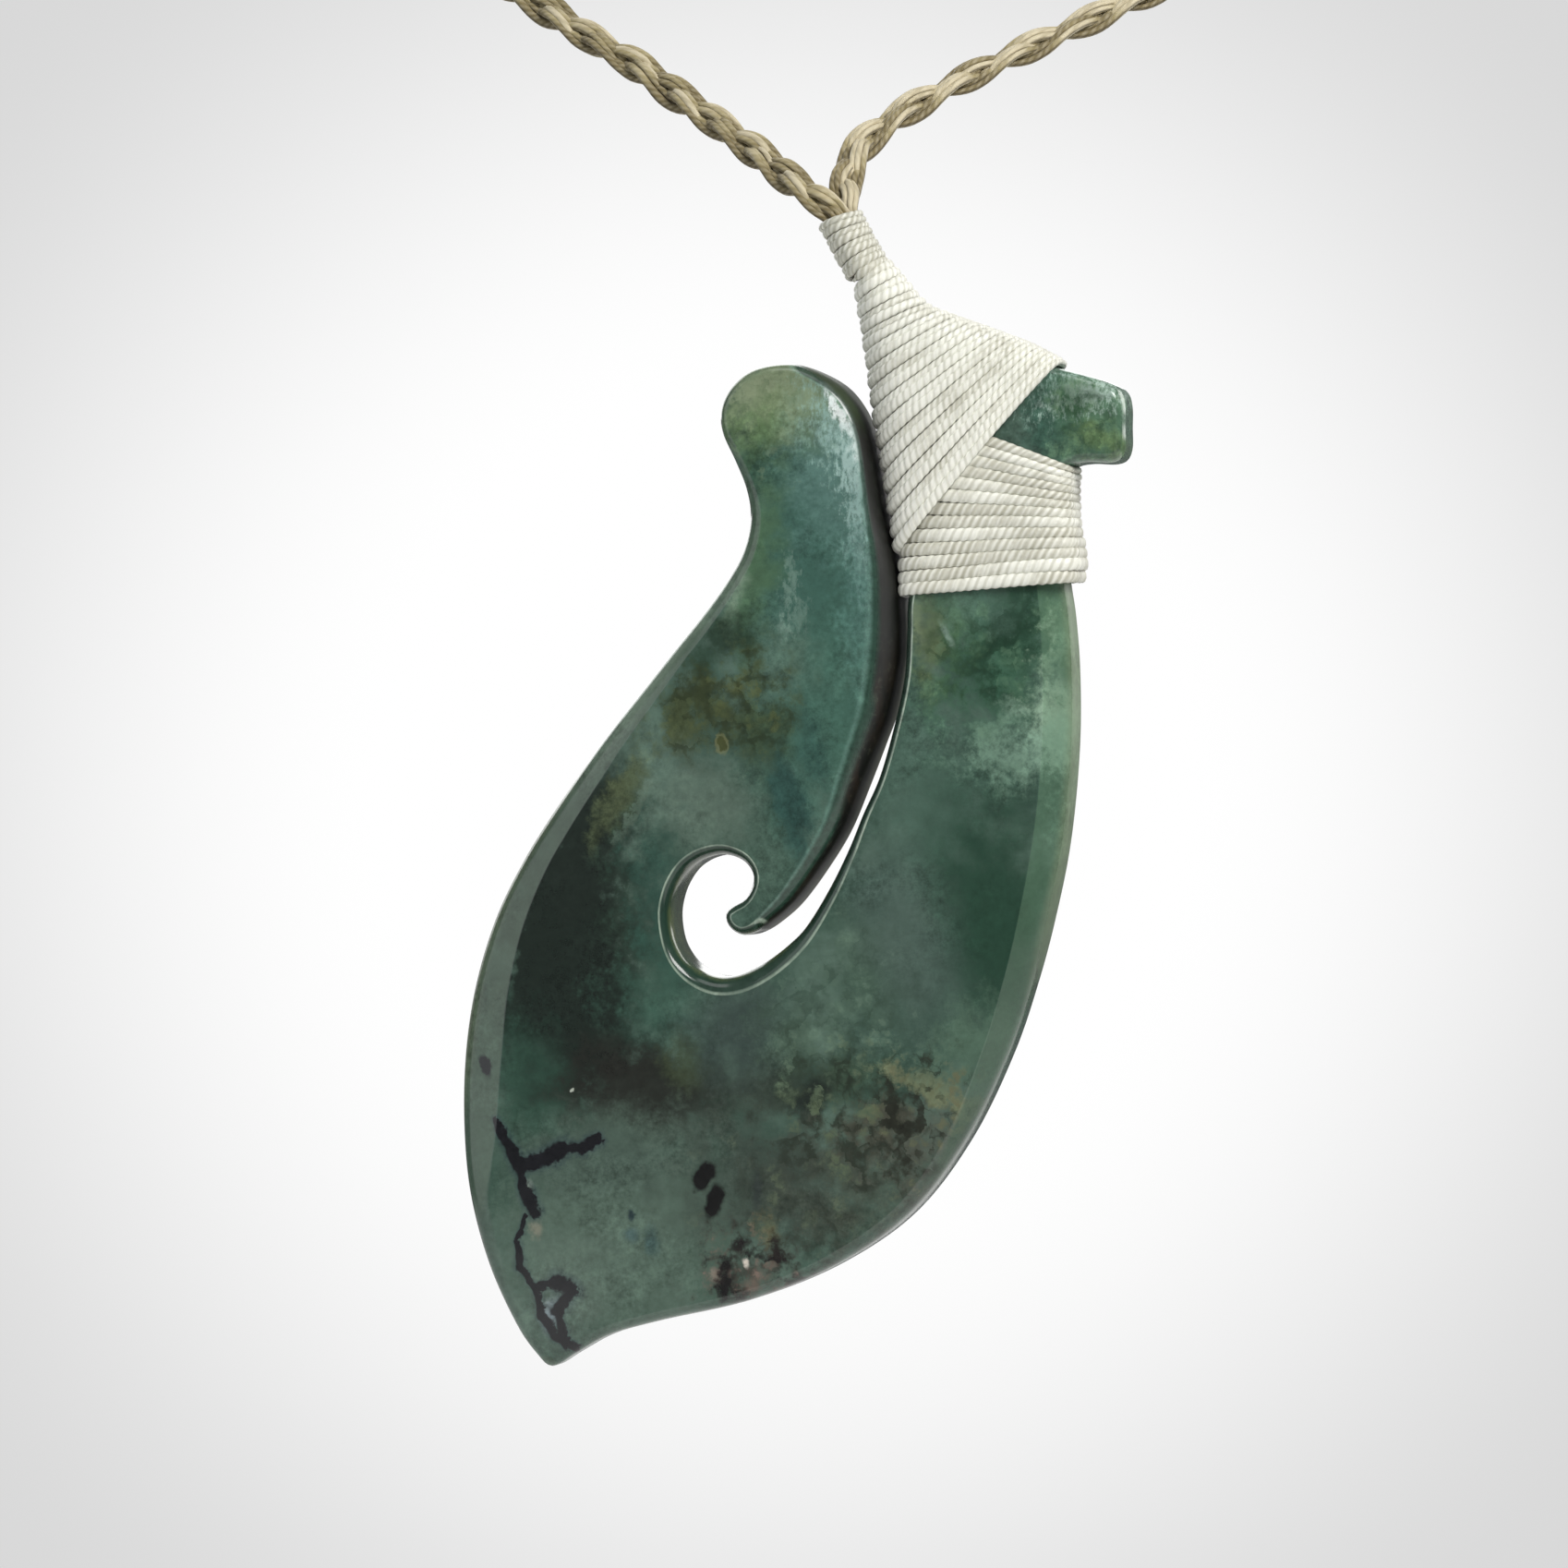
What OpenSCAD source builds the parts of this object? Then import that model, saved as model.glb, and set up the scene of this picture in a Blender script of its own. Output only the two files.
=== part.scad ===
// Fish-hook pendant of polished green stone, lashed to a plaited neck cord.
// The pendant's own tables run from the top of the neck whipping: x to the right, z up.
// The front faces -Y. The origin is where the cord's nape rests on a neck or a peg.

/* [Stone] */
// Height from the top of the neck whipping down to the tail tip
pendant_h = 94; // [86:0.5:104]
// Thickness of the stone where it is thickest
stone_t = 7.8; // [7:0.1:9]
// Width of the wide bevel along the outer edge
outer_bevel = 3.6; // [2:0.1:4]
// Width of the narrow rounding along the slot and the spiral hole
inner_bevel = 1; // [0.6:0.1:1.4]

/* [Lashing] */
// Depth of one layer of lashing thread
thread_t = 0.6; // [0.5:0.05:0.65]
// Gap left between a layer and what it is wound on
seat_gap = 0.12; // [0.1:0.01:0.16]

/* [Neck cord] */
// Diameter of the plaited cord
cord_d = 2.8; // [2.4:0.1:3]
// Diameter of each cord end where the whipping squeezes it
squeezed_d = 1.7; // [1.4:0.1:1.8]

/* [Hidden] */
nominal_h = 94;
size_k = pendant_h / nominal_h;
half_t = stone_t / 2;
// The head and shank are ground a little thinner than the body of the hook
head_share = 0.9;
head_half = half_t * head_share;
// Steps of the smooth curve between two rows of a table
rib_steps = 3;
wind_steps = 2;
route_steps = 2;
// Points round one turn of a lashing
turn_points = 36;
cord_sides = 8;
curl_sides = 20;

// Ribs of the hook from the head round to the tail tip, each a cut across the stone.
// Columns: outer x, outer z, inner x, inner z, share of half_t at outer end, at inner end
HEAD_TO_TAIL = [
    [23.9, -19.4, 23.9, -15.1, 0.50, 0.50],
    [22.8, -20.2, 22.9, -14.1, 0.84, 0.84],
    [20.8, -20.2, 20.5, -13.1, 0.88, 0.88],
    [19.3, -20.4, 17.6, -12.3, 0.87, 0.87],
    [18.7, -21.5, 13.5, -10.9, 0.87, 0.87],
    [18.5, -23.3, 10, -9.3, 0.88, 0.88],
    [18.5, -25.2, 8.8, -10.8, 0.87, 0.87],
    [18.6, -26.7, 9.2, -15.4, 0.86, 0.86],
    [18.8, -28.4, 9, -21.2, 0.86, 0.86],
    [19.1, -30.2, 8.2, -26.6, 0.86, 0.86],
    [19.4, -32.1, 6.5, -31.2, 0.87, 0.86],
    [19.7, -35.2, 6.2, -35.0, 0.94, 0.92],
    [19.8, -42.5, 5.2, -42.3, 1.00, 0.97],
    [19.5, -46.5, 3.7, -46.2, 1.00, 1.00],
    [18.9, -51.5, 1.9, -50.0, 1.00, 1.00],
    [17.9, -56.4, 0.3, -53.5, 1.00, 1.00],
    [16.5, -61.7, -1.4, -56.5, 1.00, 1.00],
    [14.3, -68.0, -3.3, -58.8, 1.00, 1.00],
    [10.8, -75.0, -5.4, -60.5, 0.98, 1.00],
    [6.2, -81.0, -7.6, -61.6, 0.95, 1.00],
    [0.2, -85.2, -9.2, -61.8, 0.90, 1.00],
    [-6.8, -88.1, -10.4, -61.6, 0.85, 1.00],
    [-14.4, -89.8, -11.4, -61.1, 0.76, 1.00],
    [-19.7, -91.4, -12.2, -60.3, 0.66, 1.00],
    [-23.8, -94.0, -12.8, -59.5, 0.50, 1.00]
];

// The same cuts from the tail tip up the left side and the barb arm to its knob
TAIL_TO_KNOB = [
    [-23.8, -94.0, -12.8, -59.5, 0.50, 1.00],
    [-26.3, -90.6, -13.2, -58.6, 0.66, 1.00],
    [-28.6, -85.6, -13.3, -57.7, 0.78, 1.00],
    [-30.2, -79.8, -13.3, -56.8, 0.88, 1.00],
    [-30.9, -74.0, -13.2, -55.8, 0.94, 1.00],
    [-30.8, -68.0, -13.0, -54.8, 0.97, 1.00],
    [-29.9, -62.4, -12.5, -53.9, 1.00, 1.00],
    [-28.2, -57.0, -11.8, -53.0, 1.00, 1.00],
    [-25.9, -52.4, -10.8, -52.3, 1.00, 1.00],
    [-23.5, -48.6, -9.4, -51.9, 1.00, 1.00],
    [-21.8, -46.2, -8.0, -52.1, 1.00, 1.00],
    [-21.1, -45.2, -6.8, -53.0, 1.00, 1.00],
    [-20.4, -44.2, -1.2, -53.0, 1.00, 1.00],
    [-18.5, -41.7, -0.2, -51.4, 1.00, 1.00],
    [-15.9, -38.5, 1.7, -47.4, 1.00, 1.00],
    [-13.3, -35.3, 3.4, -43.2, 1.00, 1.00],
    [-10.9, -32.4, 4.6, -39.6, 1.00, 1.00],
    [-8.9, -29.7, 5.3, -35.0, 1.00, 1.00],
    [-7.5, -27.2, 5.0, -30.6, 1.00, 1.00],
    [-6.9, -24.5, 4.2, -25.8, 1.00, 1.00],
    [-7.2, -22.2, 3.4, -21.2, 1.00, 1.00],
    [-8.1, -19.9, 2.7, -17.8, 1.00, 1.00],
    [-9.1, -17.7, 1.9, -15.6, 1.00, 1.00],
    [-9.3, -15.7, 0.4, -13.8, 0.96, 0.96],
    [-8.4, -13.8, -1.8, -12.5, 0.84, 0.84],
    [-6.6, -12.4, -3.8, -12.0, 0.50, 0.50]
];

// The curled tip between the spiral hole and the slot. Columns: x, z, radius
CURL = [
    [-3.0, -50.8, 3.2],
    [-3.5, -52.0, 2.9],
    [-4.0, -53.1, 2.6],
    [-4.5, -54.1, 2.0],
    [-5.1, -55.1, 1.7],
    [-5.6, -55.7, 1.6],
    [-6.0, -56.1, 1.4],
    [-7.0, -56.9, 1.2],
    [-7.8, -57.5, 1.0]
];

// Edge sections of the stone, from the rim inwards.
// Columns: share of the bevel's width, share of the half thickness there
OUTER_EDGE = [[0, 0.16], [0.06, 0.34], [0.3, 0.62], [0.62, 0.86], [1, 0.98]];
INNER_EDGE = [[0, 0.5], [0.12, 0.72], [0.45, 0.91], [1, 0.99]];
// A bevel takes at most these shares of a short rib
OUTER_MOST = 0.42;
INNER_MOST = 0.3;

// Turns of thread seen from the front, each from its left end to its right end.
// Columns: left x, left z, right x, right z, depth share from 0 at the neck to 1 over the
// stone, then how square the turn is at its left and its right end, 2 for an ellipse
NECK_TURNS = [
    [-1.8, -0.5, 1.9, 0.5, 0, 2, 2],
    [-0.4, -3.1, 3.0, -1.5, 0, 2, 2],
    [1.0, -5.6, 4.1, -3.5, 0.06, 2, 2]
];
FAN_TURNS = [
    [1.3, -5.9, 4.3, -3.8, 0, 2, 2],
    [1.6, -7.6, 5.9, -5.4, 0.12, 2, 2.2],
    [1.9, -9.5, 7.4, -7.1, 0.34, 2, 2.6],
    [2.3, -12.0, 9.7, -8.1, 0.72, 2.1, 3.4],
    [2.7, -14.7, 12.0, -8.9, 0.92, 2.2, 4.4],
    [3.1, -17.7, 14.1, -9.7, 1, 2.3, 5],
    [3.7, -21.1, 16.0, -10.4, 1, 2.5, 5],
    [4.3, -24.4, 17.6, -11.2, 1, 2.9, 5],
    [4.9, -27.6, 18.8, -11.9, 1, 3.4, 5]
];
BAND_TURNS = [
    [5.5, -15.6, 19.8, -20.9, 1, 2.5, 5],
    [5.6, -18.4, 19.7, -22.0, 1, 2.5, 5],
    [5.7, -21.4, 19.7, -23.4, 1, 2.6, 5],
    [5.6, -24.4, 19.8, -25.0, 1, 2.8, 5],
    [5.3, -27.4, 20.2, -27.1, 1, 3.4, 5],
    [5.3, -29.4, 20.3, -28.8, 1, 4.4, 5],
    [5.4, -30.7, 19.9, -30.6, 1, 5, 5]
];
// Half depth of the whipping, outside
neck_half = 2.7;
band_half = head_half + seat_gap + thread_t;
fan_half = band_half + seat_gap + thread_t;

// Routes of the cord's centre, from inside the whipping to the nape.
// Columns: x, y, z, fullness from 0 where it is squeezed to 1
LEFT_ROUTE = [
    [2.5, -0.95, -4.5, 0],
    [1.3, -0.95, -2.4, 0],
    [0.25, -0.9, -0.1, 0],
    [-1.7, -0.7, 1.4, 0.6],
    [-4.8, 2.8, 3.6, 1],
    [-9, 8, 6.5, 1],
    [-14.5, 13.5, 10.2, 1],
    [-20.5, 19, 14.2, 1],
    [-27, 24, 18, 1],
    [-38, 33.5, 25, 1],
    [-50, 45, 34, 1],
    [-61, 58, 43.5, 1],
    [-70, 72, 54, 1],
    [-77, 88, 66, 1],
    [-81.5, 104, 78, 1],
    [-81.5, 120, 90, 1],
    [-76, 136, 102, 1],
    [-64.5, 151, 113, 1],
    [-48, 163, 122, 1],
    [-25.5, 170.5, 128, 1],
    [0, 173, 130, 1]
];
RIGHT_ROUTE = [
    [2.5, 0.95, -4.5, 0],
    [1.3, 0.95, -2.4, 0],
    [0.1, 0.95, -0.1, 0],
    [0.1, 2.1, 1.6, 0.6],
    [-0.1, 4.8, 3.6, 1],
    [0.6, 8.6, 6.5, 1],
    [3.9, 13, 9.8, 1],
    [9.6, 18, 13.5, 1],
    [17.7, 24, 18, 1],
    [30, 33.5, 25, 1],
    [43.5, 45, 34, 1],
    [56.5, 58, 43.5, 1],
    [67.5, 72, 54, 1],
    [76, 88, 66, 1],
    [81.5, 104, 78, 1],
    [81.5, 120, 90, 1],
    [76, 136, 102, 1],
    [64.5, 151, 113, 1],
    [48, 163, 122, 1],
    [25.5, 170.5, 128, 1],
    [0, 173, 130, 1]
];
// The loop leans back by this run and rise for each unit along it, as it is worn,
// and this direction stands square to its plane
LEAN = [0, 0.8, 0.6];
LOOP_NORMAL = [0, -0.6, 0.8];
nape = LEFT_ROUTE[len(LEFT_ROUTE) - 1];
hang_point = [nape[0], nape[1], nape[2]] - LEAN * cord_d / 2;

// A smooth curve through the rows of a table: the value at t between rows b and c
function smooth(a, b, c, d, t) =
    (2 * b + (c - a) * t + (2 * a - 5 * b + 4 * c - d) * t * t + (3 * b - a - 3 * c + d) * t * t * t) / 2;
function row(rows, i) = rows[max(0, min(len(rows) - 1, i))];
function refined(rows, steps) = [
    for (i = [0 : (len(rows) - 1) * steps])
        let (k = floor(i / steps), t = i / steps - k)
        smooth(row(rows, k - 1), row(rows, k), row(rows, k + 1), row(rows, k + 2), t)
];
function flip(list) = [for (i = [len(list) - 1 : -1 : 0]) list[i]];
function unit(v) = v / norm(v);

// One cut across the stone: its back side from the outer rim to the inner rim, then its front
function rib_section(r) =
    let (
        outer = [r[0], 0, r[1]] * size_k,
        inner = [r[2], 0, r[3]] * size_k,
        span = norm(inner - outer),
        along = (inner - outer) / span,
        outer_w = min(outer_bevel, OUTER_MOST * span),
        inner_w = min(inner_bevel, INNER_MOST * span),
        half = [
            for (e = OUTER_EDGE) [outer_w * e[0], e[1]],
            [(outer_w + span - inner_w) / 2, 1],
            for (e = flip(INNER_EDGE)) [span - inner_w * e[0], e[1]]
        ],
        back = [
            for (p = half)
                let (thick = half_t * (r[4] + (r[5] - r[4]) * p[0] / span))
                outer + along * p[0] + [0, thick * p[1], 0]
        ],
        front = [for (p = flip(back)) [p[0], -p[1], p[2]]]
    )
    concat(back, front);

// A solid skinned over rings that all have the same number of points
module skin(rings) {
    n = len(rings[0]);
    last = len(rings) - 1;
    points = [for (ring = rings) each ring];
    sides = [
        for (i = [0 : last - 1]) for (j = [0 : n - 1])
            let (k = (j + 1) % n, a = i * n, b = (i + 1) * n)
            each [[a + j, a + k, b + k], [a + j, b + k, b + j]]
    ];
    ends = [[for (j = [n - 1 : -1 : 0]) j], [for (j = [0 : n - 1]) last * n + j]];
    polyhedron(points, concat(sides, ends));
}

// A tube wall skinned between outer rings and inner rings, open at both ends
module wall(outer, inner) {
    n = len(outer[0]);
    last = len(outer) - 1;
    shift = (last + 1) * n;
    points = concat([for (ring = outer) each ring], [for (ring = inner) each ring]);
    outside = [
        for (i = [0 : last - 1]) for (j = [0 : n - 1])
            let (k = (j + 1) % n, a = i * n, b = (i + 1) * n)
            each [[a + j, a + k, b + k], [a + j, b + k, b + j]]
    ];
    inside = [for (f = outside) [f[2] + shift, f[1] + shift, f[0] + shift]];
    rims = [
        for (j = [0 : n - 1])
            let (k = (j + 1) % n, a = last * n)
            each [
                [k, j, j + shift], [k, j + shift, k + shift],
                [a + j, a + k, a + k + shift], [a + j, a + k + shift, a + j + shift]
            ]
    ];
    polyhedron(points, concat(outside, inside, rims));
}

// One turn of thread as a ring: a flattened loop round the line from left to right
function turn(r, deep, inset) =
    let (
        left = [r[0], 0, r[1]] * size_k,
        right = [r[2], 0, r[3]] * size_k,
        centre = (left + right) / 2,
        across = unit(right - left),
        half_w = norm(right - left) / 2 - inset,
        half_d = neck_half + (deep - neck_half) * r[4] - inset
    )
    [
        for (i = [0 : turn_points - 1])
            let (
                angle = 360 * i / turn_points,
                c = cos(angle),
                s = sin(angle),
                power = 2 / (c < 0 ? r[5] : r[6])
            )
            centre
                + across * half_w * sign(c) * pow(abs(c), power)
                + [0, half_d * sign(s) * pow(abs(s), power), 0]
    ];

module lashing(turns, deep) {
    rows = refined(turns, wind_steps);
    outer = [for (r = rows) turn(r, deep, 0)];
    inner = [for (r = rows) turn(r, deep, thread_t)];
    wall(outer, inner);
}

// One ring of the cord, square to its route
function cord_ring(route, i) =
    let (
        here = route[i],
        ahead = unit(row(route, i + 1) - row(route, i - 1)),
        dir = unit([ahead[0], ahead[1], ahead[2]]),
        side = unit(cross(dir, LOOP_NORMAL)),
        up = cross(side, dir),
        radius = (squeezed_d + (cord_d - squeezed_d) * max(0, min(1, here[3]))) / 2
    )
    [
        for (j = [0 : cord_sides - 1])
            let (angle = 360 * (j + 0.5) / cord_sides)
            [here[0], here[1], here[2]] + radius * (side * cos(angle) + up * sin(angle))
    ];

// The rows past the nape are mirrored from those before it, so both halves meet square
module neck_cord(route) {
    last = len(route) - 1;
    past = [for (k = [1, 2]) [-route[last - k][0], route[last - k][1], route[last - k][2], 1]];
    points = refined(concat(route, past), route_steps);
    skin([for (i = [0 : last * route_steps]) cord_ring(points, i)]);
}

// A thin round button with the edge section of the slot, one stop along the curled tip
module curl_stop(r) {
    edge = min(inner_bevel, r[2] / 2);
    translate([r[0], 0, r[1]] * size_k) rotate([90, 0, 0])
        for (e = INNER_EDGE)
            cylinder(h = 2 * half_t * e[1], r = r[2] - edge * e[0], center = true, $fn = curl_sides);
}

module jade_hook() {
    color("darkslategray") {
        head_ribs = refined(HEAD_TO_TAIL, rib_steps);
        knob_ribs = refined(TAIL_TO_KNOB, rib_steps);
        past_tail = [for (i = [1 : len(knob_ribs) - 1]) knob_ribs[i]];
        skin([for (r = concat(head_ribs, past_tail)) rib_section(r)]);
        for (i = [0 : len(CURL) - 2]) {
            hull() {
                curl_stop(CURL[i]);
                curl_stop(CURL[i + 1]);
            }
        }
    }
}

module shank_lashing() {
    color("gainsboro") lashing(BAND_TURNS, band_half);
}

module fan_lashing() {
    color("whitesmoke") lashing(FAN_TURNS, fan_half);
}

module neck_whipping() {
    color("ivory") lashing(NECK_TURNS, fan_half);
}

module neck_cord_left() {
    color("darkkhaki") neck_cord(LEFT_ROUTE);
}

module neck_cord_right() {
    color("khaki") neck_cord(RIGHT_ROUTE);
}

translate(-hang_point) jade_hook();
translate(-hang_point) shank_lashing();
translate(-hang_point) fan_lashing();
translate(-hang_point) neck_whipping();
translate(-hang_point) neck_cord_left();
translate(-hang_point) neck_cord_right();
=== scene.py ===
"""Looks of a fish-hook pendant: polished green stone lashed to a plaited neck cord.

Sizes are in millimetres in the pendant's own frame, which starts at the top of the neck
whipping: x to the right, y to the back, z up. place() turns them into the row's metres.
"""
import logging
import math
from dataclasses import dataclass
from enum import Enum

import bpy
import numpy as np
from bpy.types import Material, Node, NodeTree, Object
from bpy.types import NodeSocket as Socket
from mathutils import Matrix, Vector
from mathutils.geometry import delaunay_2d_cdt


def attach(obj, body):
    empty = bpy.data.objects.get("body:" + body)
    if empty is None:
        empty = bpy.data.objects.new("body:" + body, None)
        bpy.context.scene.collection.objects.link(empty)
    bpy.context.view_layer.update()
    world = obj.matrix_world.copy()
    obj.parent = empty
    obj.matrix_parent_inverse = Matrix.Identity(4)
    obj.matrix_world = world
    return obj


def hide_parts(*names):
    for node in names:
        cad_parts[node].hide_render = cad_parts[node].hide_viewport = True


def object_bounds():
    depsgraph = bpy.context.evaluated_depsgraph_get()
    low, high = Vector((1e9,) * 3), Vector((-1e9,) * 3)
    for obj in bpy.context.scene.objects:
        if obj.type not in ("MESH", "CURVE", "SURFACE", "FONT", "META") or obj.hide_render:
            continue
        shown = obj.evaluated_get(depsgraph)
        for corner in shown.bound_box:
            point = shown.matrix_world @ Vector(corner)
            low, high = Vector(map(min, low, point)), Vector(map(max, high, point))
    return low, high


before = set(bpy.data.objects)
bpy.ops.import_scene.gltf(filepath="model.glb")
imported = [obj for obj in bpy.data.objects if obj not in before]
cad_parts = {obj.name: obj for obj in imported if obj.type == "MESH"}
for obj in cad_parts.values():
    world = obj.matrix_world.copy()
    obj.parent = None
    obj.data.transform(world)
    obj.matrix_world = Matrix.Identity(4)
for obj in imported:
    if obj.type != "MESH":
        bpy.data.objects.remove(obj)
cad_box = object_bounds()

log = logging.getLogger("pendant")
Row = tuple[float, ...]

# The neck whipping's top lies this far in front of and below the nape, in millimetres
NAPE = np.array([0.0, 171.88, 129.16])
MM = 0.001
BODY = "root"


# Small helpers
def place(points: np.ndarray) -> np.ndarray:
    """Millimetres in the pendant's frame as metres in the row's frame."""
    return (np.asarray(points, float) - NAPE) * MM


def tone(code: str) -> tuple[float, float, float, float]:
    """A colour as a photograph shows it, such as "4a6256", as linear light.

    Args:
        code: six hexadecimal digits.

    Returns:
        Red, green, blue and an alpha of one.
    """
    parts = [int(code[i:i + 2], 16) / 255 for i in (0, 2, 4)]
    light = [c / 12.92 if c <= 0.04045 else ((c + 0.055) / 1.055) ** 2.4 for c in parts]
    return (light[0], light[1], light[2], 1.0)


def unit(rows: np.ndarray) -> np.ndarray:
    """Each row of vectors at length one."""
    return rows / np.maximum(np.linalg.norm(rows, axis=-1, keepdims=True), 1e-12)


def smooth_rows(rows: np.ndarray, at: np.ndarray) -> np.ndarray:
    """Values of a smooth curve through the rows of a table.

    Args:
        rows: one row of numbers for each point the curve passes through.
        at: places along the table, 0 at its first row and len - 1 at its last.

    Returns:
        One row of numbers for each place.
    """
    last = len(rows) - 1
    k = np.clip(np.floor(at).astype(int), 0, last - 1)
    t = (at - k)[:, None]
    a, b, c, d = (rows[np.clip(k + i, 0, last)] for i in (-1, 0, 1, 2))
    return (2 * b + (c - a) * t + (2 * a - 5 * b + 4 * c - d) * t ** 2
            + (3 * b - a - 3 * c + d) * t ** 3) / 2


def by_length(path: np.ndarray, values: np.ndarray, step: float) -> tuple[np.ndarray, np.ndarray]:
    """A path and the values along it, sampled again at even lengths.

    Args:
        path: points along a curve.
        values: one row of numbers for each point.
        step: the length between two new samples.

    Returns:
        The new points with their values beside them, and the length at each.
    """
    along = np.concatenate([[0], np.cumsum(np.linalg.norm(np.diff(path, axis=0), axis=1))])
    even = np.linspace(0, along[-1], max(2, int(round(along[-1] / step)) + 1))
    both = np.hstack([path, values])
    return np.stack([np.interp(even, along, col) for col in both.T], axis=1), even


def heading(path: np.ndarray) -> np.ndarray:
    """The direction of a path at each of its points."""
    return unit(np.gradient(path, axis=0))


def square_to(ahead: np.ndarray, rows: np.ndarray) -> np.ndarray:
    """Each row of vectors turned square to a direction, at length one."""
    return unit(rows - ahead * (rows * ahead).sum(axis=1, keepdims=True))


def drifting(at: np.ndarray, knots: np.ndarray, gap: float) -> np.ndarray:
    """Values between random knots that lie at even gaps along a length."""
    return np.interp(at, np.arange(len(knots)) * gap, knots)


def show(name: str, data: bpy.types.ID) -> Object:
    """Puts a new object in the scene.

    Args:
        name: the object's name.
        data: its mesh, camera or light.

    Returns:
        The object.
    """
    made = bpy.data.objects.new(name, data)
    bpy.context.scene.collection.objects.link(made)
    return made


def direction(azimuth: float, elevation: float = 0.0) -> np.ndarray:
    """The way from the pendant to a viewer at so many degrees to the right and above level."""
    a, e = math.radians(azimuth), math.radians(elevation)
    return np.array([math.sin(a) * math.cos(e), -math.cos(a) * math.cos(e), math.sin(e)])


def look_from(thing: Object, aim: np.ndarray, away: np.ndarray, distance: float) -> None:
    """Places a camera or a lamp so that it looks at a place from a distance."""
    thing.location = Vector(aim + away * distance)
    thing.rotation_euler = (-Vector(away)).to_track_quat("-Z", "Y").to_euler()


def make_piece(name: str, points: np.ndarray, faces: list, node: str,
               marks: dict[str, np.ndarray]) -> Object:
    """A mesh object that rides on the part and stands in for a CAD node.

    Args:
        name: the piece's name.
        points: its vertices in metres.
        faces: lists of vertex numbers.
        node: the CAD node that it stands for.
        marks: point attributes by name, one number or one vector for each vertex.

    Returns:
        The new object.
    """
    mesh = bpy.data.meshes.new(name)
    mesh.from_pydata(points.tolist(), [], faces)
    mesh.update()
    for key, values in marks.items():
        flat = np.asarray(values, np.float32)
        kind, word = ("FLOAT", "value") if flat.ndim == 1 else ("FLOAT_VECTOR", "vector")
        mesh.attributes.new(key, kind, "POINT").data.foreach_set(word, flat.ravel())
    mesh.polygons.foreach_set("use_smooth", [True] * len(mesh.polygons))
    piece = show(name, mesh)
    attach(piece, BODY)
    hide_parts(node)
    log.info("%s: %d points, %d faces", name, len(mesh.vertices), len(mesh.polygons))
    return piece


class Dressed:
    """A sub-assembly that takes one finish."""

    def dress(self, piece: Object, material: Material) -> None:
        """Gives the piece its finish."""
        piece.data.materials.append(material)


@dataclass
class Strand:
    """One thread swept along a path: where it runs and how thick it is there."""

    path: np.ndarray
    side: np.ndarray
    out: np.ndarray
    half_width: np.ndarray
    half_depth: np.ndarray
    length: np.ndarray
    ply_pitch: float
    ply_depth: float
    ply: int = 2
    corners: int = 10
    # how far the twist wanders, and the waves to the millimetre of its two slow drifts
    wander: float = 0.8
    drifts: Row = (0.53, 0.31)
    # the shade mark: a thread's own tone, into which the lashings and the plait lay painted light
    # and shade
    shade: np.ndarray | float = 0.5

    def mesh(self) -> tuple[np.ndarray, list, dict[str, np.ndarray]]:
        """The closed skin of the thread.

        Returns:
            Points in millimetres, faces, and each point's lay (cosine and sine round the
            thread, and the length along it), shade, and crest of its ply.
        """
        n, m = len(self.path), self.corners
        turn = np.arange(m) * 2 * math.pi / m
        drift = sum(np.sin(self.length * wave) for wave in self.drifts)
        twist = 2 * math.pi * self.length / self.ply_pitch + self.wander * drift
        crest = np.cos(self.ply * (turn[None, :] - twist[:, None] / self.ply))
        swell = 1 + self.ply_depth * crest
        across = np.cos(turn)[None, :] * swell * self.half_width[:, None]
        outward = np.sin(turn)[None, :] * swell * self.half_depth[:, None]
        rings = (self.path[:, None, :] + self.side[:, None, :] * across[:, :, None]
                 + self.out[:, None, :] * outward[:, :, None])
        i, j = np.meshgrid(np.arange(n - 1), np.arange(m), indexing="ij")
        k = (j + 1) % m
        quads = np.stack([i * m + j, i * m + k, (i + 1) * m + k, (i + 1) * m + j], axis=-1)
        faces = quads.reshape(-1, 4).tolist()
        faces.append(list(range(m - 1, -1, -1)))
        faces.append(list(range((n - 1) * m, n * m)))
        lay = np.zeros((n, m, 3))
        lay[:, :, 0], lay[:, :, 1] = np.cos(turn), np.sin(turn)
        lay[:, :, 2] = self.length[:, None]
        shade = np.repeat(np.broadcast_to(self.shade, n), m)
        marks = {"lay": lay.reshape(-1, 3), "shade": shade, "crest": crest.ravel()}
        return rings.reshape(-1, 3), faces, marks


def join_strands(strands: list[Strand]) -> tuple[np.ndarray, list, dict[str, np.ndarray]]:
    """Several threads as one mesh.

    Args:
        strands: the threads.

    Returns:
        Points in metres, faces, and the point attributes "lay", "shade" and "crest".
    """
    points, faces, marks, start = [], [], [], 0
    for strand in strands:
        p, f, mark = strand.mesh()
        points.append(p)
        faces.extend([[v + start for v in face] for face in f])
        marks.append(mark)
        start += len(p)
    joined = {key: np.concatenate([mark[key] for mark in marks]) for key in marks[0]}
    return place(np.vstack(points)), faces, joined


# Node building
@dataclass(frozen=True)
class Noise:
    """A noise pattern: waves to the unit, finer layers, their strength, bend, stretch and span.

    The span is for Graph.eased: the values between which it eases from 0 to 1, and other results
    than 0 and 1 where they differ.
    """

    scale: float
    detail: float = 3.0
    rough: float = 0.55
    bend: float = 0.0
    stretch: Row = ()
    span: Row = (0.0, 1.0)


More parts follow.
